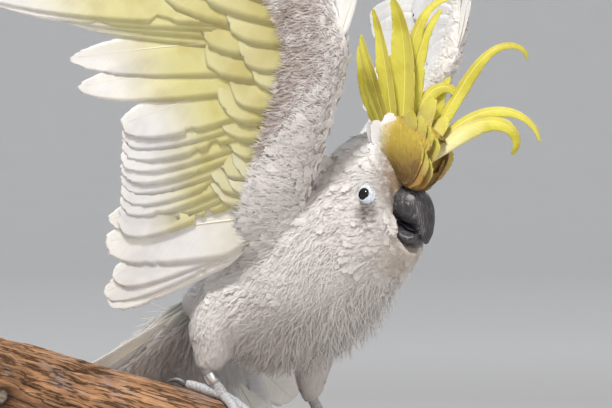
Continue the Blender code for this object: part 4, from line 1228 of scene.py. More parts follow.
# %% Materials of vanes and quills
def make_vane_finish(name, light, shade, yellow, deep, share, painted_shade, clear=1.0):
    finish = Finish(name, Roughness=0.52, Sheen_Weight=0.2, Specular_IOR_Level=0.3,
                    Subsurface_Weight=0.3, Subsurface_Radius=(1.0, 0.9, 0.6),
                    Subsurface_Scale=0.002)
    tone = finish.split(finish.own("Tone"))
    along, across, _ = finish.parts(finish.node("UVMap", {}, uv_map="Barbs").outputs["UV"])
    slant = finish.calc("SUBTRACT", along, finish.times(finish.calc("ABSOLUTE", across), 1.1))
    spot = finish.join(finish.times(slant, 1100.0), finish.times(across, 45.0),
                       finish.times(tone[2], 9.0))
    barbs = finish.noise(1.0, spot, detail=2.5, rough=0.6)
    patch = finish.noise(38.0, detail=2.0)
    plain = finish.mix(finish.span(patch, 0.35, 0.68), light, shade)
    gold = finish.mix(finish.span(patch, 0.4, 0.7), yellow, deep)
    colour = finish.mix(finish.times(tone[0], share), plain, gold)
    # The second share of Tone mixes in painted shade.
    colour = finish.mix(finish.times(tone[1], 0.85), colour, painted_shade)
    streak = finish.span(barbs, 0.36, 0.66, 1.0 - 0.07 * clear, 1.0 + 0.03 * clear)
    channels = {"Red": streak, "Green": streak, "Blue": streak}
    streak = finish.node("CombineColor", channels).outputs[0]
    finish.colour(finish.mix(1.0, colour, streak, "MULTIPLY"))
    finish.roughness(finish.span(barbs, 0.3, 0.7, 0.64, 0.50))
    finish.bump(barbs, 0.00022, 0.35 * clear)
    return finish.material


def make_quill_finish(name, dark, light):
    return grained(name, dark, light, 300.0, (1.0, 1.0, 0.2), Roughness=0.35,
                   Specular_IOR_Level=0.5)


under_vane = make_vane_finish("under_vane", (0.80, 0.79, 0.76), (0.70, 0.69, 0.67),
                              (0.62, 0.57, 0.20), (0.54, 0.47, 0.12), 1.0, (0.43, 0.35, 0.13), 0.45)
upper_vane = make_vane_finish("upper_vane", (0.80, 0.795, 0.785), (0.71, 0.70, 0.69),
                              (0.80, 0.78, 0.62), (0.78, 0.75, 0.56), 0.25, (0.42, 0.41, 0.43))
quill_finish = make_quill_finish("quill_horn", (0.72, 0.67, 0.50), (0.82, 0.78, 0.62))

# %% [markdown]
# A wing carries ten long primaries on the hand, ten secondaries on the forearm and a few
# tertials at the elbow. Each overlaps the next in its own thin layer. Shorter coverts cover
# their roots, in three tiers above and two below, and the alula stands at the wrist.

# %% Sizes of the wing feathers
FIRST_SECONDARY = 5
FIRST_PRIMARY = 15
FEATHER_COUNT = 25
TERTIALS = (
    (-0.014, 0.010, -22, 0.146, 0.030),
    (-0.014, 0.013, -20, 0.147, 0.032),
    (-0.014, 0.016, -17, 0.135, 0.034),
    (-0.012, 0.013, -4, 0.133, 0.044),
    (-0.012, 0.044, -10, 0.132, 0.030),
)
SECONDARY_LENGTH = (0.138, 0.176)
SECONDARY_ANGLE = (-20.0, -13.0)
SECONDARY_WIDTH = 0.041
PRIMARY_LENGTH = (0.206, 0.208, 0.226, 0.244, 0.262, 0.283, 0.290, 0.288, 0.275, 0.245)
PRIMARY_ANGLE = (-5, -1, 7, 6, 4, 0, 14, 26, 38, 50)
PRIMARY_BASE_WIDTH = 0.042
PRIMARY_END_WIDTH = 0.032
# Each tier of coverts: count, first and last place, height off the vanes, step forward,
# share of the flight feather's length, and width.
COVERT_TIERS = {
    -1: ((20, 5.2, 23.6, 0.0034, 0.005, 0.40, 0.027), (19, 5.2, 23.4, 0.0054, 0.010, 0.27, 0.024),
         (18, 5.4, 23.0, 0.0072, 0.015, 0.17, 0.019)),
    1: ((13, 5.2, 23.6, 0.0016, 0.005, 0.50, 0.048), (14, 5.2, 23.4, 0.0030, 0.010, 0.36, 0.042)),
}
COVERT_PLACES = (5, 10, 15, 24)
COVERT_ANGLES = (-24, -20, -12, 38)
COVERT_INSIDE = 0.010
ALULA_ANGLES = (84, 98, 112)
ALULA_LENGTH, ALULA_STEP, ALULA_WIDTH = 0.058, 0.007, 0.014
# How yellow the feathers are, by their number or place along the wing.
REMEX_YELLOW = ((0, 3, 4, 14, 22, 24), (0.10, 0.22, 0.8, 0.9, 0.8, 0.5))
COVERT_YELLOW = ((5, 9, 15, 20, 24), (0.70, 0.95, 1.0, 1.0, 0.6))
# One primary bends the other way, as in the photograph.
DROOP, BENT_DROOP, BENT_PRIMARY = 0.010, -0.012, 20


def root_line(place):
    """Where a feather roots, as forward and up, from its number along the wing."""
    if place >= FIRST_PRIMARY:
        t = (place - FIRST_PRIMARY + 0.5) / (FEATHER_COUNT - FIRST_PRIMARY)
        low, high = WRIST_ROOT, HAND_ROOT
    else:
        t = (place - FIRST_SECONDARY + 0.5) / (FIRST_PRIMARY - FIRST_SECONDARY)
        low, high = ELBOW_ROOT, WRIST_ROOT
    return (low[0] + t * (high[0] - low[0]), low[1] + t * (high[1] - low[1]))


def feather_shape(number):
    """Root, angle, length, width and outline of one flight feather."""
    if number < FIRST_SECONDARY:
        forward, up, angle, length, width = TERTIALS[number]
        return (forward, up), angle, length, width, rounded_tip
    root = root_line(number)
    if number < FIRST_PRIMARY:
        t = (number - FIRST_SECONDARY) / (FIRST_PRIMARY - FIRST_SECONDARY - 1)
        angle = SECONDARY_ANGLE[0] + t * (SECONDARY_ANGLE[1] - SECONDARY_ANGLE[0])
        length = SECONDARY_LENGTH[0] + t * (SECONDARY_LENGTH[1] - SECONDARY_LENGTH[0])
        return root, angle, length, SECONDARY_WIDTH, rounded_tip
    order = number - FIRST_PRIMARY
    t = order / (FEATHER_COUNT - FIRST_PRIMARY - 1)
    width = PRIMARY_BASE_WIDTH + t * (PRIMARY_END_WIDTH - PRIMARY_BASE_WIDTH)
    return root, PRIMARY_ANGLE[order], PRIMARY_LENGTH[order], width, pointed_tip


def wing_spot(plane, root, angle, length, width, layer, droop=0.0, wave=0.0, vault=0.0,
              rise=0.0):
    """Places on one feather of a wing, swept at the tip and bowed a little."""
    turn = math.radians(angle)

    def spot(t, across):
        along = length * t
        side = across + droop * t * t
        forward = root[0] - math.cos(turn) * along - math.sin(turn) * side
        up = root[1] + math.sin(turn) * along - math.cos(turn) * side
        depth = (layer + rise * np.clip(t / 0.3, 0.0, 1.0)
                 + wave * np.sin(2.6 * t + root[1] * 90.0) * t - vault * (across / width) ** 2)
        return plane.points(forward, up, depth)

    return spot


def remex_tones(number):
    """Yellow over the inner part of a flight feather, fading to a white tip, and a little painted
    shade on its narrow vane short of the tip.
    """
    reach = 0.30 if number < FIRST_SECONDARY else 0.66
    full = float(np.interp(number, *REMEX_YELLOW))

    def tones(t, share):
        fade = clamp((reach + 0.24 - t) / 0.34)
        return full * fade * fade * (3 - 2 * fade), 0.10 * (t < 0.9) * (share < 0)

    return tones


def covert_tones(place, tier, face):
    # Upper coverts: a grey that deepens by tier, and painted shade towards the root where the row
    # above overlaps. Under coverts: yellow, with a khaki painted shade towards the root.
    if face < 0:
        return lambda t, share: (0.0, 0.08 * tier + 0.34 * max(0.0, 1.0 - 1.35 * t))
    full = float(np.interp(place, *COVERT_YELLOW)) * (1.0, 0.92)[tier]
    return lambda t, share: (full * (1.0 - 0.25 * t * t), 0.60 * (1.0 - t * t))


def add_flight_feathers(group, plane):
    for number in range(FEATHER_COUNT):
        root, angle, length, width, outline = feather_shape(number)
        droop = BENT_DROOP if number == BENT_PRIMARY else DROOP
        spot = wing_spot(plane, root, angle, length, width, number * LAYER, droop,
                         group.dice.uniform(-0.0012, 0.0012), 0.0007)
        group.add(spot, length, width, outline, tones=remex_tones(number),
                  nicks=group.dice.randint(1, 4), steps=44, quill=0.0008)


def add_coverts(group, plane):
    """Tiers of short feathers over the roots: -1 is the upper face, 1 the under face."""
    for face, tiers in COVERT_TIERS.items():
        nicks, ragged = (2, 0.9) if face < 0 else (0, 0.4)
        for tier, (count, first, last, offset, step_in, share, width) in enumerate(tiers):
            for k in range(count):
                place = first + (last - first) * k / (count - 1)
                forward, up = root_line(place)
                full = feather_shape(min(FEATHER_COUNT - 1, round(place)))[2]
                angle = float(np.interp(place, COVERT_PLACES, COVERT_ANGLES))
                angle += group.dice.uniform(-4, 4)
                length = share * full * group.dice.uniform(0.92, 1.08)
                root = (min(forward + step_in, leading_edge(up) - COVERT_INSIDE),
                        up + 0.2 * step_in)
                spot = wing_spot(plane, root, angle, length, width,
                                 place * LAYER + face * offset * 0.3, 0.003, 0.0006,
                                 face * 0.0016, face * offset * 0.7)
                group.add(spot, length, width, rounded_tip, steps=20, cells=6, quill=0.0004,
                          tones=covert_tones(place, tier, face), nicks=nicks, ragged=ragged)


def add_alula(group, plane):
    for k, angle in enumerate(ALULA_ANGLES):
        root = (WRIST_ROOT[0] + 0.006, WRIST_ROOT[1] + 0.004 * k)
        length = ALULA_LENGTH - ALULA_STEP * k
        spot = wing_spot(plane, root, angle, length, ALULA_WIDTH, (FIRST_PRIMARY + k) * LAYER,
                         vault=0.001)
        group.add(spot, length, ALULA_WIDTH, pointed_tip, steps=16, cells=6, nicks=2,
                  quill=0.0007)


def make_wing(label, seed):
    """The grid's first side faces under on the right wing and over on the left one."""
    plane = PLANES[label]
    sides = (under_vane, upper_vane) if label == "right" else (upper_vane, under_vane)
    for name, makers in (("flight_", (add_flight_feathers,)),
                         ("coverts_", (add_coverts, add_alula))):
        group = FeatherSet(seed)
        for make in makers:
            make(group, plane)
        group.close(name + label, "flight_feathers", "wing_" + label, (*sides, quill_finish))
        seed += 1


make_wing("right", 41)
make_wing("left", 43)

# %% [markdown]
# The tail hangs spread behind the perch: twelve broad feathers that turn about one pivot and
# sink a little towards their ends, with short coverts over and under their roots.

# %% Tail
TAIL_PIVOT = FEET + np.array((-0.068, 0.0, 0.082))
TAIL_DROP = math.radians(58.0)
TAIL_SPREAD = 57.0
TAIL_TURN = 4.0
TAIL_FEATHERS = 12
TAIL_LAYER = 0.0008
TAIL_DOWN = np.array((-math.cos(TAIL_DROP), 0.0, -math.sin(TAIL_DROP)))
TAIL_ABOVE = np.array((-math.sin(TAIL_DROP), 0.0, math.cos(TAIL_DROP)))
# Each tier of tail coverts: above (1) or below (-1), its length and its height off the vanes.
TAIL_TIERS = ((1, 0.085, 0.0050), (-1, 0.075, 0.0050), (1, 0.055, 0.0078), (-1, 0.050, 0.0078))
TAIL_LENGTH, TAIL_WIDTH = 0.194, 0.038
TAIL_COVERT_WIDTH, TAIL_COVERT_SPREAD, TAIL_COVERTS = 0.026, 46.0, 11
TAIL_BEND = 0.35


def tail_spot(fan, length, width, layer, vault):
    angle = math.radians(fan)
    ahead = TAIL_DOWN * math.cos(angle) + np.array(LEFT) * math.sin(angle)
    aside = np.array(LEFT) * math.cos(angle) - TAIL_DOWN * math.sin(angle)

    def spot(t, across):
        reach = length * t
        drop = TAIL_BEND * (reach * math.cos(angle)) ** 2 + vault * (across / width) ** 2
        return (TAIL_PIVOT + ahead * reach[:, None] + aside * across[:, None]
                + TAIL_ABOVE * (layer - drop)[:, None])

    return spot


def make_tail():
    group = FeatherSet(51)
    for k in range(TAIL_FEATHERS):
        fan = TAIL_TURN - TAIL_SPREAD + 2 * TAIL_SPREAD * k / (TAIL_FEATHERS - 1)
        order = abs(k - (TAIL_FEATHERS - 1) / 2) + (0.4 if k >= TAIL_FEATHERS / 2 else 0.0)
        length = TAIL_LENGTH - 0.0012 * order
        layer = (TAIL_FEATHERS / 4 - order) * TAIL_LAYER
        group.add(tail_spot(fan, length, TAIL_WIDTH, layer, 0.0012), length, TAIL_WIDTH, tail_tip,
                  lead=0.5, steps=34, nicks=5,
                  tones=lambda t, share: (0.35 * max(0.0, 1.0 - 1.3 * t), 0.05))
    for face, reach, lift in TAIL_TIERS:
        yellow = 0.18 if face < 0 else 0.0
        for k in range(TAIL_COVERTS):
            fan = (TAIL_TURN - TAIL_COVERT_SPREAD
                   + 2 * TAIL_COVERT_SPREAD * k / (TAIL_COVERTS - 1) + group.dice.uniform(-3, 3))
            length = reach * group.dice.uniform(0.9, 1.08)
            layer = face * (lift - abs(k - 5) * 0.5 * TAIL_LAYER)
            spot = tail_spot(fan, length, TAIL_COVERT_WIDTH, layer, face * 0.0016)
            group.add(spot, length, TAIL_COVERT_WIDTH, rounded_tip, lead=0.5, steps=14, cells=6,
                      nicks=4, quill=0.0006, ragged=0.9, tones=lambda t, share: (yellow, 0.08))
    group.close("tail_feathers", "flight_feathers", "tail", (upper_vane, under_vane, quill_finish))


make_tail()

# %% The downy coverts over the tail's roots
TAIL_SHEETS = ((-1, 0.088, ("tail_under", "tail_down")), (1, 0.052, ("tail_over", "tail_crown")))
TAIL_LEAVES = (45, even(0.0034, 0.0036), even(0.024, 0.020), even(0.0076, 0.0060),
               even(0.0040, 0.0030), dict(yaw=0.3))
TAIL_LOCKS = (47, even(0.0026, 0.0026), even(0.026, 0.021), even(0.0014, 0.0012),
              even(0.0060, 0.0040), dict(form=LOCK, yaw=0.4))


def tail_sheet(face, reach):
    """A sheet over the roots of the tail, above it or below it."""
    def sheet(along, around):
        fan = np.radians(TAIL_TURN + 106.0 * (np.atleast_1d(around) % 1.0001 - 0.5))[:, None]
        far = (0.004 + reach * np.atleast_1d(along))[:, None]
        drop = TAIL_BEND * (far * np.cos(fan)) ** 2
        return (TAIL_PIVOT + (TAIL_DOWN * np.cos(fan) + np.array(LEFT) * np.sin(fan)) * far
                + TAIL_ABOVE * (face * 0.0088 - drop))

    return sheet


def tail_way(roots, ahead, along, around):
    return roots - TAIL_PIVOT


for number, (face, reach, names) in enumerate(TAIL_SHEETS):
    grow_coats(dict(zip(names, (TAIL_LEAVES, TAIL_LOCKS))), tail_sheet(face, reach),
               ((0.62, 0.93 + 0.02 * number), (0.78, 0.95 + 0.02 * number)), "", number,
               way=tail_way, nodes=("tail",), facing=TAIL_ABOVE * face, slot="flight_feathers")

# %% [markdown]
# The crest is a fan of long narrow blades that rise from the crown and curl forwards. Each
# blade is a shallow channel with its edges rolled up, so its two halves catch the light
# differently; one half is also painted a little darker, as painted shade. Bearing, rise and
# curl are given feather by feather, as the photo shows them.

# %% Crest
CREST_FRONT = (0.170, 0.196)
CREST_BACK = (0.132, 0.215)
CREST_FEATHERS = (
    (0.00, 0.000, 38, 39, -137, 3.1, 0.097, 0.0190),
    (0.05, 0.003, 40, 48, -81, 2.1, 0.111, 0.0125),
    (0.15, 0.004, 40, 60, -84, 5.8, 0.129, 0.0130),
    (0.35, 0.002, 40, 82, -172, 3.3, 0.083, 0.0150),
    (0.30, 0.005, 44, 70, 50, 4.0, 0.062, 0.0190),
    (0.45, 0.003, 42, 88, 50, 2.5, 0.110, 0.0160),
    (0.50, 0.005, 40, 90, -5, 4.3, 0.130, 0.0155),
    (0.60, 0.000, 222, 94, 66, 2.8, 0.112, 0.0270),
    (0.68, 0.004, 60, 96, 70, 3.0, 0.092, 0.0160),
    (0.75, -0.002, 222, 84, 72, 3.1, 0.101, 0.0155),
    (0.85, -0.003, 222, 74, 76, 2.3, 0.081, 0.0150),
    (0.95, -0.004, 222, 70, 88, 3.3, 0.071, 0.0140),
)
CREST_ROLL = math.radians(56.0)
FLAT_ROLL = math.radians(80.0)
CREST_STEPS = 96


def crest_spot(row, drop=0.0, roll=CREST_ROLL, channel=0.30):
    """Places on a blade: its line is stepped off at a changing angle, then looked up."""
    place, step, bearing, rise, fall, lateness, length, width = row
    x = CREST_FRONT[0] + place * (CREST_BACK[0] - CREST_FRONT[0])
    z = CREST_FRONT[1] + place * (CREST_BACK[1] - CREST_FRONT[1]) - drop
    heading = math.radians(bearing)
    ahead = np.array((math.cos(heading), math.sin(heading), 0.0))
    aside = np.array((-math.sin(heading), math.cos(heading), 0.0))
    marks = (np.arange(CREST_STEPS + 1) + 0.5) / CREST_STEPS
    angle = np.radians(rise + (fall - rise) * marks ** lateness)[:, None]
    ways = ahead * np.cos(angle) + np.array(UP) * np.sin(angle)
    line = FEET + np.array((x, step, z)) + np.cumsum(ways, axis=0) * length / CREST_STEPS
    normals = np.array(UP) * np.cos(angle) - ahead * np.sin(angle)
    wides = aside * math.cos(roll) + normals * math.sin(roll)
    faces = np.cross(ways, wides)

    def spot(t, across):
        mark = np.clip(t, 0.0, 1.0) * CREST_STEPS
        low = np.minimum(mark.astype(int), CREST_STEPS - 1)
        part = (mark - low)[:, None]
        middle, wide, face = (table[low] * (1 - part) + table[low + 1] * part
                              for table in (line, wides, faces))
        half = np.abs(across) / width * 2.0
        rolled = channel * width * half ** 2 * (0.35 + 0.65 * t)
        return (middle + wide * (across * (1.0 - 0.10 * half))[:, None]
                - face * rolled[:, None])

    return spot


def crest_tones(row):
    back = row[0]

    def tones(t, share):
        pale = max(0.0, 1.0 - t / (0.25 if back > 0.02 else 0.60))
        # One half of each blade is painted darker, as painted shade.
        return 1.0 - (0.15 if back > 0.02 else 0.75) * pale, 0.22 if share > 0.02 else 0.0

    return tones


# Broad short blades at the crest's foot: the same numbers, then how low each roots, which
# also sets its painted shade, and how yellow it is.
FOOT_FEATHERS = (
    (0.10, -0.0085, -6, 40, 34, 2.0, 0.026, 0.0230, 0.021, 0.9),
    (0.20, -0.0110, -8, 47, 40, 2.0, 0.032, 0.0250, 0.023, 1.0),
    (0.32, -0.0115, -8, 55, 48, 2.0, 0.036, 0.0250, 0.023, 1.0),
    (0.44, -0.0120, -6, 66, 60, 2.0, 0.034, 0.0240, 0.022, 1.0),
    (0.56, -0.0120, -2, 80, 72, 2.0, 0.028, 0.0210, 0.019, 0.9),
    (0.12, -0.0060, 0, 44, 34, 2.0, 0.032, 0.0210, 0.010, 1.0),
    (0.24, -0.0085, -2, 53, 44, 2.0, 0.038, 0.0220, 0.012, 1.0),
    (0.34, -0.0095, -2, 62, 52, 2.0, 0.042, 0.0230, 0.012, 1.0),
    (0.46, -0.0100, 0, 71, 62, 2.0, 0.042, 0.0210, 0.012, 1.0),
    (0.16, -0.0030, 40, 60, 44, 2.0, 0.042, 0.0170, 0.006, 1.0),
    (0.30, -0.0030, 40, 74, 62, 2.0, 0.052, 0.0180, 0.008, 1.0),
    (0.14, 0.0085, 60, 50, 42, 2.0, 0.030, 0.0220, 0.018, 1.0),
    (0.26, 0.0105, 64, 62, 52, 2.0, 0.040, 0.0230, 0.018, 1.0),
    (0.42, 0.0110, 68, 74, 64, 2.0, 0.042, 0.0220, 0.018, 1.0),
    (0.70, -0.0105, 30, 90, 80, 2.0, 0.030, 0.0150, 0.008, 0.02),
    (0.86, -0.0105, 64, 104, 98, 2.0, 0.024, 0.0130, 0.010, 0.02),
    (1.00, -0.0080, 84, 118, 112, 2.0, 0.022, 0.0120, 0.010, 0.02),
    (0.60, 0.0115, 40, 86, 72, 2.0, 0.034, 0.0150, 0.014, 0.05),
    (0.80, 0.0105, 40, 98, 84, 2.0, 0.033, 0.0145, 0.013, 0.02),
)


def foot_tones(drop, bright):
    """Yellow towards the tip, and brown-gold painted shade up to the height where the blade comes
    out of the forehead's shade.
    """
    # Painted shade of the forehead under the crest, deeper the lower the blade roots.
    forehead_shade = min(1.0, 50.0 * drop) if bright > 0.5 else 0.0
    return lambda t, share: (bright * (0.55 + 0.45 * t),
                             max(0.0, min(1.15, 2.0 - 1.75 * t) * forehead_shade))


def make_crest():
    straw = make_quill_finish("crest_quill", (0.70, 0.63, 0.12), (0.76, 0.70, 0.22))
    yellow = make_vane_finish("crest_vane", (0.84, 0.80, 0.66), (0.78, 0.74, 0.55),
                              (0.58, 0.54, 0.080), (0.43, 0.385, 0.035), 1.0,
                              (0.33, 0.185, 0.040))
    group = FeatherSet(61)
    for row in CREST_FEATHERS:
        group.add(crest_spot(row), row[6], row[7], crest_tip, lead=0.5, steps=56, cells=12,
                  tones=crest_tones(row), nicks=9, quill=0.0005, ragged=0.9)
    side = FeatherSet(62)
    for *row, drop, bright in FOOT_FEATHERS:
        roll = FLAT_ROLL if abs(row[1]) > 0.004 else CREST_ROLL
        spot = crest_spot(row, drop, roll if row[1] < 0 else math.pi - roll, 0.07)
        (group if bright > 0.5 else side).add(
            spot, row[6], row[7], rounded_tip, lead=0.5, steps=28, cells=10, nicks=3,
            tones=foot_tones(drop, bright), quill=0.0003, ragged=0.9)
    group.close("crest_blades", "crest_feathers", "crest", (yellow, yellow, straw))
    side.close("crest_side", "crest_feathers", "crest", (upper_vane, upper_vane, quill_finish))


make_crest()

# %% The short feathers round the foot of the crest
CREST_PAD = (
    (0.118, 0.216, 0.124, 0.206, 0.006),
    (0.130, 0.222, 0.136, 0.200, 0.010),
    (0.146, 0.224, 0.147, 0.188, 0.012),
    (0.162, 0.219, 0.158, 0.180, 0.012),
    (0.175, 0.209, 0.168, 0.180, 0.009),
    (0.181, 0.200, 0.174, 0.186, 0.004),
)


def pad_surface(along, around, grow=-0.0026):
    rows = rows_at(CREST_PAD, (1.0 - np.atleast_1d(along)) * (len(CREST_PAD) - 1.0))
    return profile_points(rows, np.atleast_1d(around), grow)


def fuzz_surface(along, around):
    """The same pad, outside the flat blades that lie on it and reach past its front."""
    along = np.atleast_1d(along)
    return pad_surface(along, around, 0.0046 + 0.0085 * np.clip(1.0 - along / 0.5, 0.0, 1.0))


def tree_of(surface):
    """A search tree over a surface function."""
    bm = bmesh.new()
    add_tube(bm, surface, 30, 40)
    face_outward(bm)
    tree = BVHTree.FromBMesh(bm)
    bm.free()
    return tree


def pad_way(roots, ahead, along, around):
    """Up the sides of the pad, leaning forwards at its front."""
    front = np.clip((0.62 - along) / 0.62, 0.0, 1.0)[:, None]
    return np.array(UP) + np.array((1.0, 0.0, 0.0)) * (0.9 * front - 0.45)


def pad_tint(along):
    """Whiter behind."""
    return np.clip((along - 0.50) / 0.25, 0.0, 1.0)


def make_foot_plumage():
    """Brown-gold painted shade low down and yellow higher up in front, white feathers behind."""
    finish = Finish("crest_foot_plumage", Roughness=0.7, Specular_IOR_Level=0.2,
                    Subsurface_Weight=0.3, Subsurface_Radius=(1.0, 0.85, 0.5),
                    Subsurface_Scale=0.002)
    tuft = finish.split(finish.own("Tuft"))
    barbs = tuft_barbs(finish, tuft)
    # Painted shade: darker brown lower down, where the forehead lies under the crest.
    height = finish.parts(finish.where())[2]
    high = finish.span(height, FEET_MIDDLE.z + 0.186, FEET_MIDDLE.z + 0.212)
    root = finish.mix(tuft[0], (0.26, 0.15, 0.050), (0.38, 0.23, 0.065))
    tip = finish.mix(tuft[0], (0.56, 0.44, 0.060), (0.50, 0.34, 0.050))
    colour = finish.mix(high, root, tip)
    colour = finish.mix(finish.own("Tuft", "Alpha"), colour, (0.88, 0.86, 0.78))
    finish.colour(finish.mix(finish.span(barbs, 0.56, 0.34, 0.0, 0.3), colour, (0.40, 0.28, 0.14)))
    finish.bump(barbs, 0.0002, 0.5)
    return finish.material


def make_pad():
    # The pad's brown-gold is painted shade of the forehead under the crest.
    ground = grained("crest_root_shaded_skin", (0.44, 0.26, 0.08), (0.70, 0.52, 0.16), 240.0, detail=3.0,
                     bump=(0.0002, 0.4), Roughness=0.8, Subsurface_Weight=0.2,
                     Subsurface_Scale=0.002)
    declare(tube_piece("crest_root", ground, pad_surface, 30, 40), "crest_feathers", "crest")


PAD_COATS = {
    "crest_foot": (
        33, even(0.0026, 0.0030), ((0.0, 0.3, 1.0), (0.009, 0.012, 0.012)),
        even(0.0034, 0.0046), even(0.0006, 0.0009), dict(limit=0.0022, yaw=0.16)),
}
FUZZ_COATS = {
    "crest_cover": (
        36, even(0.0030, 0.0032), even(0.014, 0.013), even(0.0062, 0.0058),
        even(0.0007, 0.0008), dict(limit=0.004, yaw=0.16, start=0.02, end=0.60)),
    "crest_fuzz": (
        34, even(0.0014, 0.0016), even(0.013, 0.012), even(0.0009, 0.0011),
        even(0.0014, 0.0014), dict(form=LOCK, limit=0.004, yaw=0.22, start=0.02, end=0.62)),
}
make_pad()
foot_finish = make_foot_plumage()
for coats, surface in ((PAD_COATS, pad_surface), (FUZZ_COATS, fuzz_surface)):
    grow_coats(coats, surface, ((0.62, 0.87), (0.78, 0.92)), way=pad_way, nodes=("crest",),
               tint=pad_tint, slot="crest_feathers", material=foot_finish,
               ground=tree_of(surface))

# %% [markdown]
# The bill is horn: a deep hook above and a short scoop below, dark grey under a fine white
# powder laid in streaks. The nostrils are pits near its root. The mouth is a little open, so
# the dark tongue shows between the two.

# %% Bill and tongue
UPPER_BILL = (
    (0.137, 0.176, 0.137, 0.153, 0.0134),
    (0.152, 0.1765, 0.152, 0.149, 0.0146),
    (0.161, 0.1755, 0.1585, 0.1465, 0.0144),
    (0.1685, 0.172, 0.1645, 0.1455, 0.0130),
    (0.1735, 0.164, 0.1685, 0.1440, 0.0110),
    (0.1760, 0.153, 0.1700, 0.1410, 0.0086),
    (0.1755, 0.142, 0.1712, 0.1360, 0.0062),
    (0.1730, 0.1335, 0.1718, 0.1318, 0.0026),
)
LOWER_BILL = (
    (0.137, 0.1515, 0.137, 0.143, 0.0122),
    (0.149, 0.1470, 0.148, 0.1362, 0.0134),
    (0.156, 0.1430, 0.156, 0.1322, 0.0128),
    (0.162, 0.1405, 0.1630, 0.1316, 0.0110),
    (0.1665, 0.1395, 0.1675, 0.1345, 0.0082),
)
TONGUE = (
    (0.147, 0.1498, 0.147, 0.1484, 0.0036),
    (0.155, 0.1476, 0.155, 0.1444, 0.0056),
    (0.159, 0.1453, 0.159, 0.1420, 0.0056),
    (0.163, 0.1436, 0.163, 0.1412, 0.0038),
)
NOSTRILS = [FEET_MIDDLE + Vector((0.1575, side * 0.0062, 0.1750)) for side in (-1, 1)]


def section_surface(rows):
    return lambda along, around: profile_points(
        rows_at(rows, np.atleast_1d(along) * (len(rows) - 1.0)), np.atleast_1d(around), 0.0)


def make_horn(name, rows, finish, node, rings, sides, depth=None):
    bm = bmesh.new()
    add_tube(bm, section_surface(rows), rings, sides)
    face_outward(bm)
    bm.normal_update()
    for vert in bm.verts if depth else ():
        vert.co -= vert.normal * depth(vert.co)
    declare(finish_mesh(bm, name, [finish]), "bill", node)


def upper_dents(place):
    """Nostril pits, growth lines and fine dents."""
    pit = sum(0.0017 * math.exp(-((place - spot).length / 0.0011) ** 2) for spot in NOSTRILS)
    grain = 0.00016 * noise.noise(Vector((place.x * 260, place.y * 900, place.z * 160)))
    return pit + grain + 0.00010 * noise.noise(place * 900.0)


def lower_dents(place):
    return 0.00014 * noise.noise(place * 500.0)


def make_bill():
    horn = Finish("bill_horn", Roughness=0.5, Specular_IOR_Level=0.45, Coat_Weight=0.08,
                  Coat_Roughness=0.35)
    strokes = horn.noise(1.0, horn.where((420.0, 1500.0, 110.0)), detail=4.0, rough=0.7)
    broad = horn.noise(90.0, detail=3.0)
    powder = horn.times(horn.span(strokes, 0.48, 0.72), horn.span(broad, 0.30, 0.62))
    colour = horn.mix(broad, (0.022, 0.021, 0.024), (0.050, 0.047, 0.050))
    colour = horn.mix(horn.times(powder, 0.75), colour, (0.33, 0.33, 0.35))
    # The nostril pits are painted darker: painted shade in the hollows.
    pits = [horn.near(spot, 0.0008, 0.0016) for spot in NOSTRILS]
    horn.colour(horn.mix(horn.calc("MAXIMUM", *pits), colour, (0.012, 0.010, 0.011)))
    horn.roughness(horn.span(powder, 0.0, 1.0, 0.38, 0.75))
    horn.bump(strokes, 0.0003, 0.6)
    flesh = grained("tongue_skin", (0.022, 0.024, 0.040), (0.060, 0.062, 0.090), 500.0, detail=3.0,
                    bump=(0.0003, 0.6), Roughness=0.35, Specular_IOR_Level=0.6, Coat_Weight=0.3,
                    Coat_Roughness=0.2)
    make_horn("bill_upper_horn", UPPER_BILL, horn.material, "bill_upper", 72, 48, upper_dents)
    make_horn("bill_lower_horn", LOWER_BILL, horn.material, "bill_lower", 40, 40, lower_dents)
    make_horn("tongue_flesh", TONGUE, flesh, "tongue", 24, 28)


make_bill()

# %% [markdown]
# The eye is a dark ball sunk deep in the head, under a rim of bare skin with fine rings of
# folds. A wet-looking surface gives the one small bright spark that makes it look alive.
# The ring is a profile of folds spun round the eye and laid on the side of the head.

# %% Eyes and their bare rings
EYE_RADIUS = 0.0068
EYE_DEPTH = 0.0048
CORNEA = 0.0004
LID_THICKNESS = 0.0005
# The ring's folds in millimetres: distance from the eye's middle and height.
RING_PROFILE = ((4.45, 0.10), (4.62, 0.62), (5.05, 0.90), (5.5, 0.70), (5.9, 0.82), (6.4, 0.50),
                (6.9, 0.62), (7.5, 0.30), (8.1, 0.30), (8.8, -0.15), (9.4, -1.1))
RING_START = 0.0044
RING_SIDES = 96
# How the ring leans out of the head, forwards and upwards.
TILT_AHEAD, TILT_ABOVE = 0.18, 0.11
# Dark lines round the eye: where each begins, is deepest and ends, and how strong it is.
RING_LINES = ((0.0, 4.2, 4.6, 0.90), (6.2, 6.5, 6.8, 0.40), (7.3, 7.7, 8.1, 0.60),
              (8.0, 8.3, 8.8, 0.85))


def eye_frame(label, side):
    """The eye's centre, the way it faces, and the head's skin point over it."""
    low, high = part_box("eye_" + label)
    centre = (low + high) / 2
    around = np.linspace(0.0, 1.0, 361)
    points = np.concatenate([
        profile_points(rows_at(BODY_SECTIONS, np.full(361, place)), around, 0.0)
        for place in np.linspace(8.5, 11.5, 61)])
    nearest = Vector(points[np.argmin(np.linalg.norm(points - np.array(centre), axis=1))])
    facing = ((nearest - centre).normalized() + LEFT * side * 0.4).normalized()
    return centre, facing, centre + facing * EYE_DEPTH


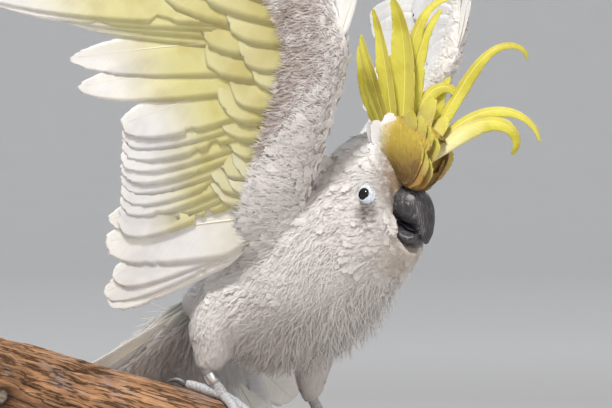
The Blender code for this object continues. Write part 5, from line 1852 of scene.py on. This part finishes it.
def make_eyeball(label, centre, facing):
    turn = facing.to_track_quat("Z", "Y")
    bm = bmesh.new()
    bmesh.ops.create_uvsphere(bm, u_segments=48, v_segments=32, radius=EYE_RADIUS)
    for vert in bm.verts:
        bulge = max(0.0, vert.co.z / EYE_RADIUS - 0.80) / 0.20
        vert.co.z += CORNEA * bulge * bulge
        vert.co = turn @ vert.co + centre
    ball = Finish("eye_dark_" + label, Roughness=0.12, Specular_IOR_Level=0.3, Coat_Weight=0.2,
                  Coat_Roughness=0.03)
    rays = ball.noise(420.0, detail=3.0)
    pupil = ball.near(centre + facing * EYE_RADIUS, 0.0024, 0.0030)
    colour = ball.mix(rays, (0.006, 0.004, 0.003), (0.012, 0.008, 0.005))
    ball.colour(ball.mix(pupil, colour, (0.004, 0.004, 0.005)))
    declare(finish_mesh(bm, "eyeball_" + label, [ball.material]), "eyes", "eye_" + label)


def ring_mesh(facing, skin_point):
    """Rings of folds laid on the side of the head, wider in front and above."""
    bm = bmesh.new()
    reach_layer = bm.verts.layers.float.new("Reach")
    spin_profile(bm, [(r * 0.001, 0.0, h * 0.001) for r, h in RING_PROFILE], RING_SIDES, 0.000005)
    ahead = (Vector((1.0, 0.0, -0.25)) - facing * facing.x).normalized()
    above = facing.cross(ahead) * (1.0 if facing.cross(ahead).z > 0 else -1.0)
    for vert in bm.verts:
        x, y, h = vert.co
        reach = math.hypot(x, y)
        angle = math.atan2(y, x)
        fold = 0.00016 * noise.noise(round_place(angle, 3, reach * 700))
        crease = 0.00010 * math.sin(angle * 34.0 + reach * 2600.0)
        fold += crease * clamp((reach - RING_START) / 0.001)
        corner = 0.80 + 0.22 * clamp((reach - RING_START) / 0.0040)
        sag = reach * reach / 0.075 + y * y / 0.09
        outer = clamp((reach - 0.0045) / 0.0045)
        shift = ahead * (0.0040 * outer - 0.0016) + above * (0.0024 * outer - 0.0011)
        h += TILT_AHEAD * max(0.0, x) + TILT_ABOVE * max(0.0, y)
        vert[reach_layer] = reach * 1000.0
        vert.co = (skin_point + shift + ahead * (x * corner) + above * y * 1.03
                   + facing * (h + fold - sag))
    face_outward(bm)
    if sum(face.normal.dot(facing) for face in bm.faces) < 0:
        bmesh.ops.reverse_faces(bm, faces=bm.faces)
    return bm


def make_bare_skin(name):
    """Pale blue skin with darker wrinkles and lines that follow the eye."""
    bare = Finish(name, Roughness=0.55, Specular_IOR_Level=0.35)
    wrinkles = bare.noise(1300.0, detail=3.0)
    colour = bare.mix(bare.span(wrinkles, 0.42, 0.64), (0.66, 0.70, 0.75), (0.33, 0.38, 0.46))
    uneven = bare.times(bare.calc("SUBTRACT", bare.noise(300.0, detail=3.0), 0.5), 2.2)
    away = bare.calc("ADD", bare.own("Reach", "Fac"), uneven)
    grey = bare.mix(wrinkles, (0.50, 0.53, 0.60), (0.34, 0.34, 0.38))
    colour = bare.mix(bare.span(away, 7.6, 8.4, 0.0, 0.5), colour, grey)
    for inner, middle, outer, strength in RING_LINES:
        line = bare.times(bare.span(away, inner, middle), bare.span(away, middle, outer, 1.0, 0.0))
        colour = bare.mix(bare.times(line, strength), colour, (0.10, 0.09, 0.10))
    bare.colour(colour)
    bare.bump(wrinkles, 0.0002, 0.6)
    return bare.material


def make_eye(label, side):
    centre, facing, skin_point = eye_frame(label, side)
    make_eyeball(label, centre, facing)
    bare = make_bare_skin("eye_skin_" + label)
    piece = finish_mesh(ring_mesh(facing, skin_point), "eye_ring_" + label, [bare])
    declare(thicken(piece, LID_THICKNESS, -1.0), "body_feathers", "head")
    print("eye", label, "faces", [round(v, 2) for v in facing])


for label, side in SIDES.items():
    make_eye(label, side)

# %% [markdown]
# The perch is a short cut of an old branch. Bark runs along it in ridges with shallow cracks
# between. It is a tube over the branch's bent axis whose radius follows layers of noise,
# kept smooth where the toes lie, and each cut end is closed by a flat face of rings.

# %% Branch
BRANCH_AXIS = (
    (-0.092, -0.264, 0.0356),
    (-0.085, -0.198, 0.0207),
    (-0.059, -0.123, -0.0006),
    (-0.015, -0.040, -0.0274),
    (0.021, 0.039, -0.0516),
    (0.035, 0.069, -0.0608),
)
BRANCH_RADIUS = 0.039
branch_fine = rows_at(BRANCH_AXIS, np.linspace(0.0, 5.0, 401))
BRANCH_ENDS = (float(branch_fine[0, 1]), float(branch_fine[-1, 1]))


def branch_point(y):
    return FEET_MIDDLE + Vector((float(np.interp(y, branch_fine[:, 1], branch_fine[:, 0])), y,
                                 float(np.interp(y, branch_fine[:, 1], branch_fine[:, 2]))))


def branch_frame(y):
    """The branch's centre, its direction, and its upward and forward sides."""
    centre = branch_point(y)
    along = (branch_point(y + 0.002) - branch_point(y - 0.002)).normalized()
    upward = (UP - along * UP.dot(along)).normalized()
    return centre, along, upward, along.cross(upward)


knot_centre, _, knot_up, knot_side = branch_frame(-0.225)
KNOT = knot_centre + (knot_side * 0.93 - knot_up * 0.25).normalized() * BRANCH_RADIUS
# The knot's swelling and its dip: height and reach of each.
KNOT_SWELL, KNOT_DIP = (0.0045, 0.011), (0.0016, 0.0045)
BRANCH_RINGS = 230
BRANCH_SIDES = 132
CUT_RINGS = 10


def bark_height(y, angle, calm):
    """How far the bark stands below (negative) or above its mean surface."""
    run = y * 26.0
    bend = noise.noise(round_place(angle, 2.4, run * 0.35) * 0.8) * 0.9
    ridge = abs(noise.noise(round_place(angle + bend * 0.3, 5.2, run * 0.55)))
    flake = noise.noise(round_place(angle, 11.0, run * 1.5 + 7.0))
    grit = noise.noise(round_place(angle, 40.0, run * 12.0))
    crack = -0.0026 * (1.0 - min(1.0, ridge * 4.2)) ** 1.5
    plate = 0.0010 * (flake > 0.12) * min(1.0, (flake - 0.12) * 6)
    return (crack + plate + (0.0003 * grit - 0.0006)) * calm


def make_bark():
    """Bark whose fibres, seams and weathering all run along the branch."""
    bark = Finish("branch_bark", Roughness=0.88, Specular_IOR_Level=0.25)
    own = bark.own("Grain", "Vector")

    def grain(across, along, detail, rough):
        return bark.noise(1.0, bark.scaled(own, (across, along, across)), detail, rough)

    long_grain = grain(70.0, 16.0, 6.0, 0.65)
    fibre = grain(520.0, 45.0, 5.0, 0.65)
    weather = grain(34.0, 20.0, 5.0, 0.7)
    seam = bark.span(bark.off_middle(grain(190.0, 17.0, 6.0, 0.62)), 0.0, 0.035, 1.0, 0.0)
    colour = bark.mix(bark.span(long_grain, 0.34, 0.68), (0.20, 0.100, 0.050),
                      (0.50, 0.265, 0.130))
    for share, tone in (
            (bark.span(fibre, 0.50, 0.74, 0.0, 0.7), (0.50, 0.36, 0.24)),
            (bark.span(fibre, 0.46, 0.26, 0.0, 0.8), (0.030, 0.018, 0.012)),
            (bark.span(weather, 0.52, 0.66, 0.0, 0.55), (0.34, 0.28, 0.26)),
            (bark.times(seam, 0.8), (0.055, 0.030, 0.018)),
            (bark.times(bark.near(KNOT, 0.006, 0.0125), 0.8), (0.040, 0.026, 0.020)),
            (bark.near(KNOT, 0.0035, 0.0060), (0.52, 0.45, 0.36))):
        colour = bark.mix(share, colour, tone)
    bark.colour(colour)
    bark.bump(bark.calc("SUBTRACT", fibre, bark.times(seam, 0.6)), 0.0018, 1.0)
    return bark.material


def make_cut_wood():
    """The rings of growth on the cut ends."""
    wood = Finish("branch_cut_wood", Roughness=0.8)
    wave = wood.node("TexNoise", {"Scale": 14.0}).outputs["Fac"]
    centre = branch_point(BRANCH_ENDS[0])
    x, _, z = wood.parts(wood.place())
    away = wood.away(wood.join(x, 0.0, z), (centre.x, 0.0, centre.z))
    turns = wood.calc("ADD", wood.times(away, 2600.0), wood.times(wave, 9.0))
    rough = wood.noise(260.0, detail=5.0)
    colour = wood.mix(wood.span(wood.calc("SINE", turns), -0.6, 0.9), (0.44, 0.30, 0.17),
                      (0.60, 0.45, 0.29))
    wood.colour(wood.mix(wood.times(rough, 0.5), colour, (0.34, 0.24, 0.15)))
    wood.bump(rough, 0.0005, 0.8)
    return wood.material


def branch_corner(step, angle, y, frame_here):
    """One corner of the branch: bark and knot on its sides, flat rings across its ends."""
    centre, _, upward, sideways = frame_here
    top = clamp((math.cos(angle) + 0.1) / 0.3)
    calm = 1.0 - 0.72 * top * clamp((y + 0.115) / 0.02)
    radius = BRANCH_RADIUS + min(0.0012, bark_height(y, angle, calm))
    outward = upward * math.cos(angle) + sideways * math.sin(angle)
    away = (centre + outward * radius - KNOT).length
    swell, dip = (size * math.exp(-(away / reach) ** 2) for size, reach in (KNOT_SWELL, KNOT_DIP))
    radius += swell - dip
    from_end = min(step, BRANCH_RINGS - step)
    if from_end < CUT_RINGS:
        radius *= from_end / CUT_RINGS
    elif from_end == CUT_RINGS:
        radius -= 0.0008
    return centre + outward * radius


def make_branch():
    bm = bmesh.new()
    grain_layer = bm.verts.layers.float_vector.new("Grain")
    made, around, along = unit_grid(bm, BRANCH_SIDES, BRANCH_RINGS)
    frames = {}
    for vert, turn, place in zip(made, around, along):
        step = round(place * BRANCH_RINGS)
        angle = FULL_TURN * turn
        body = clamp((step - CUT_RINGS) / (BRANCH_RINGS - 2 * CUT_RINGS))
        y = BRANCH_ENDS[0] + body * (BRANCH_ENDS[1] - BRANCH_ENDS[0])
        if y not in frames:
            frames[y] = branch_frame(y)
        vert.co = branch_corner(step, angle, y, frames[y])
        vert[grain_layer] = Vector((math.cos(angle) * BRANCH_RADIUS, y * 1.07,
                                    math.sin(angle) * BRANCH_RADIUS))
    bmesh.ops.remove_doubles(bm, verts=made, dist=SMALL)
    face_outward(bm)
    piece = finish_mesh(bm, "branch_bark_body", [make_bark(), make_cut_wood()])
    low, high = (FEET_MIDDLE.y + y for y in BRANCH_ENDS)
    for face in piece.data.polygons:
        if face.center.y < low + 0.0004 or face.center.y > high - 0.0004:
            face.material_index = 1
            face.use_smooth = False
    declare(piece, "bark", "perch_branch")


make_branch()

# %% [markdown]
# A parrot's foot has two toes before and two behind, each wrapped in a row of hard scutes
# over knobbly pads. Toes and shank are tubes that swell at each scute, remeshed into one
# skin. Claws are tapered horn, curved down onto the bark.

# %% Feet and claws
TARSUS_RADIUS = 0.0044
TOE_RADIUS = 0.0039
TOES = ((8.0, 0.043), (-18.0, 0.032), (140.0, 0.031), (215.0, 0.026))
LEGS = {
    "right": (-1, -0.044, 16.0, (-0.0090, -0.0490, 0.0335)),
    "left": (1, 0.038, 4.0, (0.018, 0.040, 0.013)),
}
TOE_SIZES = (1.0, 0.97, 0.98, 0.93, 0.92, 0.74)


def toe_path(branch_y, roll, bearing, length, side):
    """Points of a toe that lies round the branch, from the foot's pad to its end."""
    clearance = BRANCH_RADIUS + 0.0003 + TOE_RADIUS
    heading = math.radians(bearing)
    ahead = Vector((math.cos(heading), side * math.sin(heading), 0.0))
    _, along, _, sideways = branch_frame(branch_y)
    run, wrap = ahead.dot(along), ahead.dot(sideways)
    size = math.hypot(run, wrap)
    points = []
    for k in range(6):
        reach = length * k / 5
        centre, _, upward, sideways = branch_frame(branch_y + along.y * reach * run / size)
        angle = math.radians(roll) + reach * wrap / size / clearance
        points.append(centre + (upward * math.cos(angle) + sideways * math.sin(angle)) * clearance)
    return points


def scute_tube(rows, length, pitch):
    """A tube that swells a little at every scute."""
    def surface(along, around):
        along = np.atleast_1d(along)
        ends = np.clip(np.minimum(along, 1.0 - along) / 0.05, 0.0, 1.0) ** 0.5
        wave = (along * length / pitch) % 1.0
        scute = 1.0 + 0.10 * (1.0 - wave) * np.clip(wave / 0.15, 0.0, 1.0)
        points = ring_points(rows, along, np.atleast_1d(around))
        middle = rows_at(rows, np.clip(along, 0.0, 1.0) * (len(rows) - 1.0))[:, :3]
        return middle + (points - middle) * (scute * ends)[:, None]

    return surface


FOOT_VOXEL = 0.00056
SHANK_SIZES = ((0.0, 0.98), (0.3, 0.92), (0.7, 0.95), (1.0, 1.10))
SHANK_SCUTE, TOE_SCUTE = 0.0026, 0.0027
CLAW_STEPS = 6


def make_foot(label, skin_material):
    """One foot; gives its toes' paths and the two ends of its shank."""
    side, branch_y, roll, ankle = LEGS[label]
    ankle = FEET_MIDDLE + Vector(ankle)
    pad_point = toe_path(branch_y, roll, 0.0, 0.001, side)[0]
    start = ankle - (pad_point - ankle).normalized() * 0.004
    shank = [(*start.lerp(pad_point, t), TARSUS_RADIUS * size) for t, size in SHANK_SIZES]
    bm = bmesh.new()
    add_tube(bm, scute_tube(shank, (pad_point - start).length, SHANK_SCUTE), 40, 24)
    paths = [toe_path(branch_y, roll, bearing, length, side) for bearing, length in TOES]
    for path, (_, length) in zip(paths, TOES):
        rows = [(*point, TOE_RADIUS * size) for point, size in zip(path, TOE_SIZES)]
        add_tube(bm, scute_tube(rows, length, TOE_SCUTE), 70, 24)
    ball = bmesh.ops.create_icosphere(bm, subdivisions=3, radius=TOE_RADIUS * 1.12)["verts"]
    bmesh.ops.translate(bm, verts=ball, vec=pad_point)
    face_outward(bm)
    foot = melt(finish_mesh(bm, "scaly_foot_" + label, [skin_material]), FOOT_VOXEL, 0.4, 2)
    declare(foot, "feet", "foot_" + label)
    return paths, start, pad_point


def make_claw(name, path, finish, node):
    """A tapered horn that leaves the toe's end and curves down onto the bark."""
    end = path[-1]
    way = (end - path[-2]).normalized()
    centre, along, _, _ = branch_frame(end.y - FEET_MIDDLE.y)
    inward = centre - end
    inward = (inward - along * inward.dot(along)).normalized()
    rows = [(*(end - way * 0.0012), 0.0029)]
    for k in range(CLAW_STEPS + 1):
        t = k / CLAW_STEPS
        bend = -inward * (0.0016 * math.sin(math.pi * t)) + inward * (0.0032 * t * t)
        rows.append((*(end + way * (0.0003 + 0.0138 * t) + bend),
                     0.0030 * (1.0 - t) ** 0.7 + 0.00025))

    def surface(along, around):
        return ring_points(rows, along, np.atleast_1d(around), 0.86)

    declare(tube_piece(name, finish, surface, 28, 20), "claws", node)


def make_feet():
    scaly = Finish("foot_scales", Roughness=0.62, Specular_IOR_Level=0.35)
    inputs = {"Scale": 760.0, "Vector": scaly.where()}
    scales = scaly.node("TexVoronoi", inputs, feature="F1").outputs["Distance"]
    dust = scaly.noise(160.0, detail=4.0)
    colour = scaly.mix(scaly.span(scales, 0.15, 0.75), (0.27, 0.275, 0.29), (0.45, 0.46, 0.49))
    scaly.colour(scaly.mix(scaly.span(dust, 0.45, 0.72, 0.0, 0.6), colour, (0.52, 0.50, 0.48)))
    scaly.bump(scaly.calc("SUBTRACT", 1.0, scales), 0.0004, 0.5)
    horn = grained("claw_horn", (0.030, 0.030, 0.034), (0.12, 0.115, 0.12), 1.0,
                   (500.0, 500.0, 1400.0), bump=(0.0002, 0.5), Roughness=0.34,
                   Specular_IOR_Level=0.5)
    shanks = {}
    for label in SIDES:
        paths, *shanks[label] = make_foot(label, scaly.material)
        for k, path in enumerate(paths):
            make_claw(f"horn_claw_{label}_{k + 1}", path, horn, f"claw_{label}_{k + 1}")
    return shanks


shanks = make_feet()

# %% [markdown]
# A plain metal band hangs loose round the right shank: a thin ring with rounded rims and a
# closed seam.

# %% Leg band
BAND_RADIUS = 0.0054
BAND_HEIGHT = 0.0078
BAND_THICKNESS = 0.0007
SEAM_ANGLE, SEAM_WIDTH, SEAM_SINK = -2.0, 0.03, 0.975


def make_band(start, pad_point):
    metal = grained("band_metal", (0.62, 0.63, 0.65), (0.80, 0.80, 0.81), 1.0,
                    (300.0, 300.0, 2600.0), detail=5.0, gloss=(0.22, 0.46), Metallic=1.0,
                    Roughness=0.3)
    low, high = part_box("leg_band")
    middle = (low + high) / 2
    turn = (start - pad_point).normalized().to_track_quat("Z", "Y")
    bm = bmesh.new()
    bmesh.ops.create_cone(bm, cap_ends=False, segments=72, radius1=BAND_RADIUS,
                          radius2=BAND_RADIUS, depth=BAND_HEIGHT)
    face_outward(bm)
    bmesh.ops.solidify(bm, geom=bm.faces[:], thickness=BAND_THICKNESS)
    face_outward(bm)
    rims = [edge for edge in bm.edges if abs(edge.verts[0].co.z - edge.verts[1].co.z) < SMALL
            and abs(abs(edge.verts[0].co.z) - BAND_HEIGHT / 2) < 0.0002]
    soften(bm, rims, 0.00022, 2)
    for vert in bm.verts:
        if abs(math.atan2(vert.co.y, vert.co.x) - SEAM_ANGLE) < SEAM_WIDTH:
            vert.co *= SEAM_SINK
        vert.co = turn @ vert.co + middle
    declare(finish_mesh(bm, "plain_band", [metal]), "leg_band", "leg_band")


make_band(*shanks["right"])

# %% [markdown]
# The stand isn't in the photograph. It stays plain: a dark stained board with softened edges
# and two steel rods, each with a small collar where it meets the board.

# %% Stand
CORNER_RADIUS = 0.018
# The board's upper and lower edges: how far each is softened, and in how many steps.
TOP_EDGE, BOTTOM_EDGE = (0.002, 4), (0.0008, 2)
ROD_SIDES = 48
# The rod's outline: its radius, and its height over the rod's foot.
COLLAR = ((0.0, 0.0), (0.0098, 0.0), (0.0098, 0.0030), (0.0090, 0.0040), (0.0063, 0.0042),
          (0.0060, 0.0048))
ROD_RADIUS = 0.0060


def make_board(finish):
    low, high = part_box("stand_base")
    size, middle = high - low, (low + high) / 2
    bm = bmesh.new()
    bmesh.ops.create_cube(bm, size=1.0)
    for vert in bm.verts:
        vert.co = Vector((middle.x + vert.co.x * size.x, middle.y + vert.co.y * size.y,
                          low.z + (vert.co.z + 0.5) * size.z))
    upright = [edge for edge in bm.edges
               if abs(edge.verts[0].co.z - edge.verts[1].co.z) > size.z / 2]
    soften(bm, upright, CORNER_RADIUS, 14)
    for level, (offset, steps) in ((high.z, TOP_EDGE), (low.z, BOTTOM_EDGE)):
        rim = [edge for edge in bm.edges
               if all(abs(vert.co.z - level) < SMALL for vert in edge.verts)
               and len(edge.link_faces) == 2
               and min(abs(face.normal.z) for face in edge.link_faces) < 0.5]
        soften(bm, rim, offset, steps)
    declare(finish_mesh(bm, "stained_base", [finish], smooth=False), "stand_wood", "stand_base")


def make_rod(k, finish):
    low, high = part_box(f"stand_rod_{k}")
    middle = (low + high) / 2
    profile = [(middle.x + r, middle.y, low.z + rise) for r, rise in COLLAR]
    profile += [(middle.x + r, middle.y, high.z) for r in (ROD_RADIUS, 0.0)]
    bm = bmesh.new()
    spin_profile(bm, profile, ROD_SIDES, SMALL, (middle.x, middle.y, 0.0))
    face_outward(bm)
    rod = finish_mesh(bm, f"steel_rod_{k}", [finish])
    rod.data.set_sharp_from_angle(angle=math.radians(35))
    declare(rod, "stand_steel", f"stand_rod_{k}")


def make_stand():
    make_board(grained(
        "stained_wood", (0.045, 0.030, 0.022), (0.15, 0.10, 0.07), 1.0, (90.0, 6.0, 60.0), 7.0,
        0.62, 0.6, edges=(0.35, 0.68), gloss=(0.36, 0.52), bump=(0.0003, 0.5), Roughness=0.4,
        Specular_IOR_Level=0.45, Coat_Weight=0.15, Coat_Roughness=0.25))
    steel = grained("rod_steel", (0.58, 0.59, 0.60), (0.74, 0.74, 0.75), 1.0, (900.0, 900.0, 30.0),
                    gloss=(0.24, 0.40), bump=(0.0001, 0.3), Metallic=1.0, Roughness=0.3)
    for k in (1, 2):
        make_rod(k, steel)


make_stand()
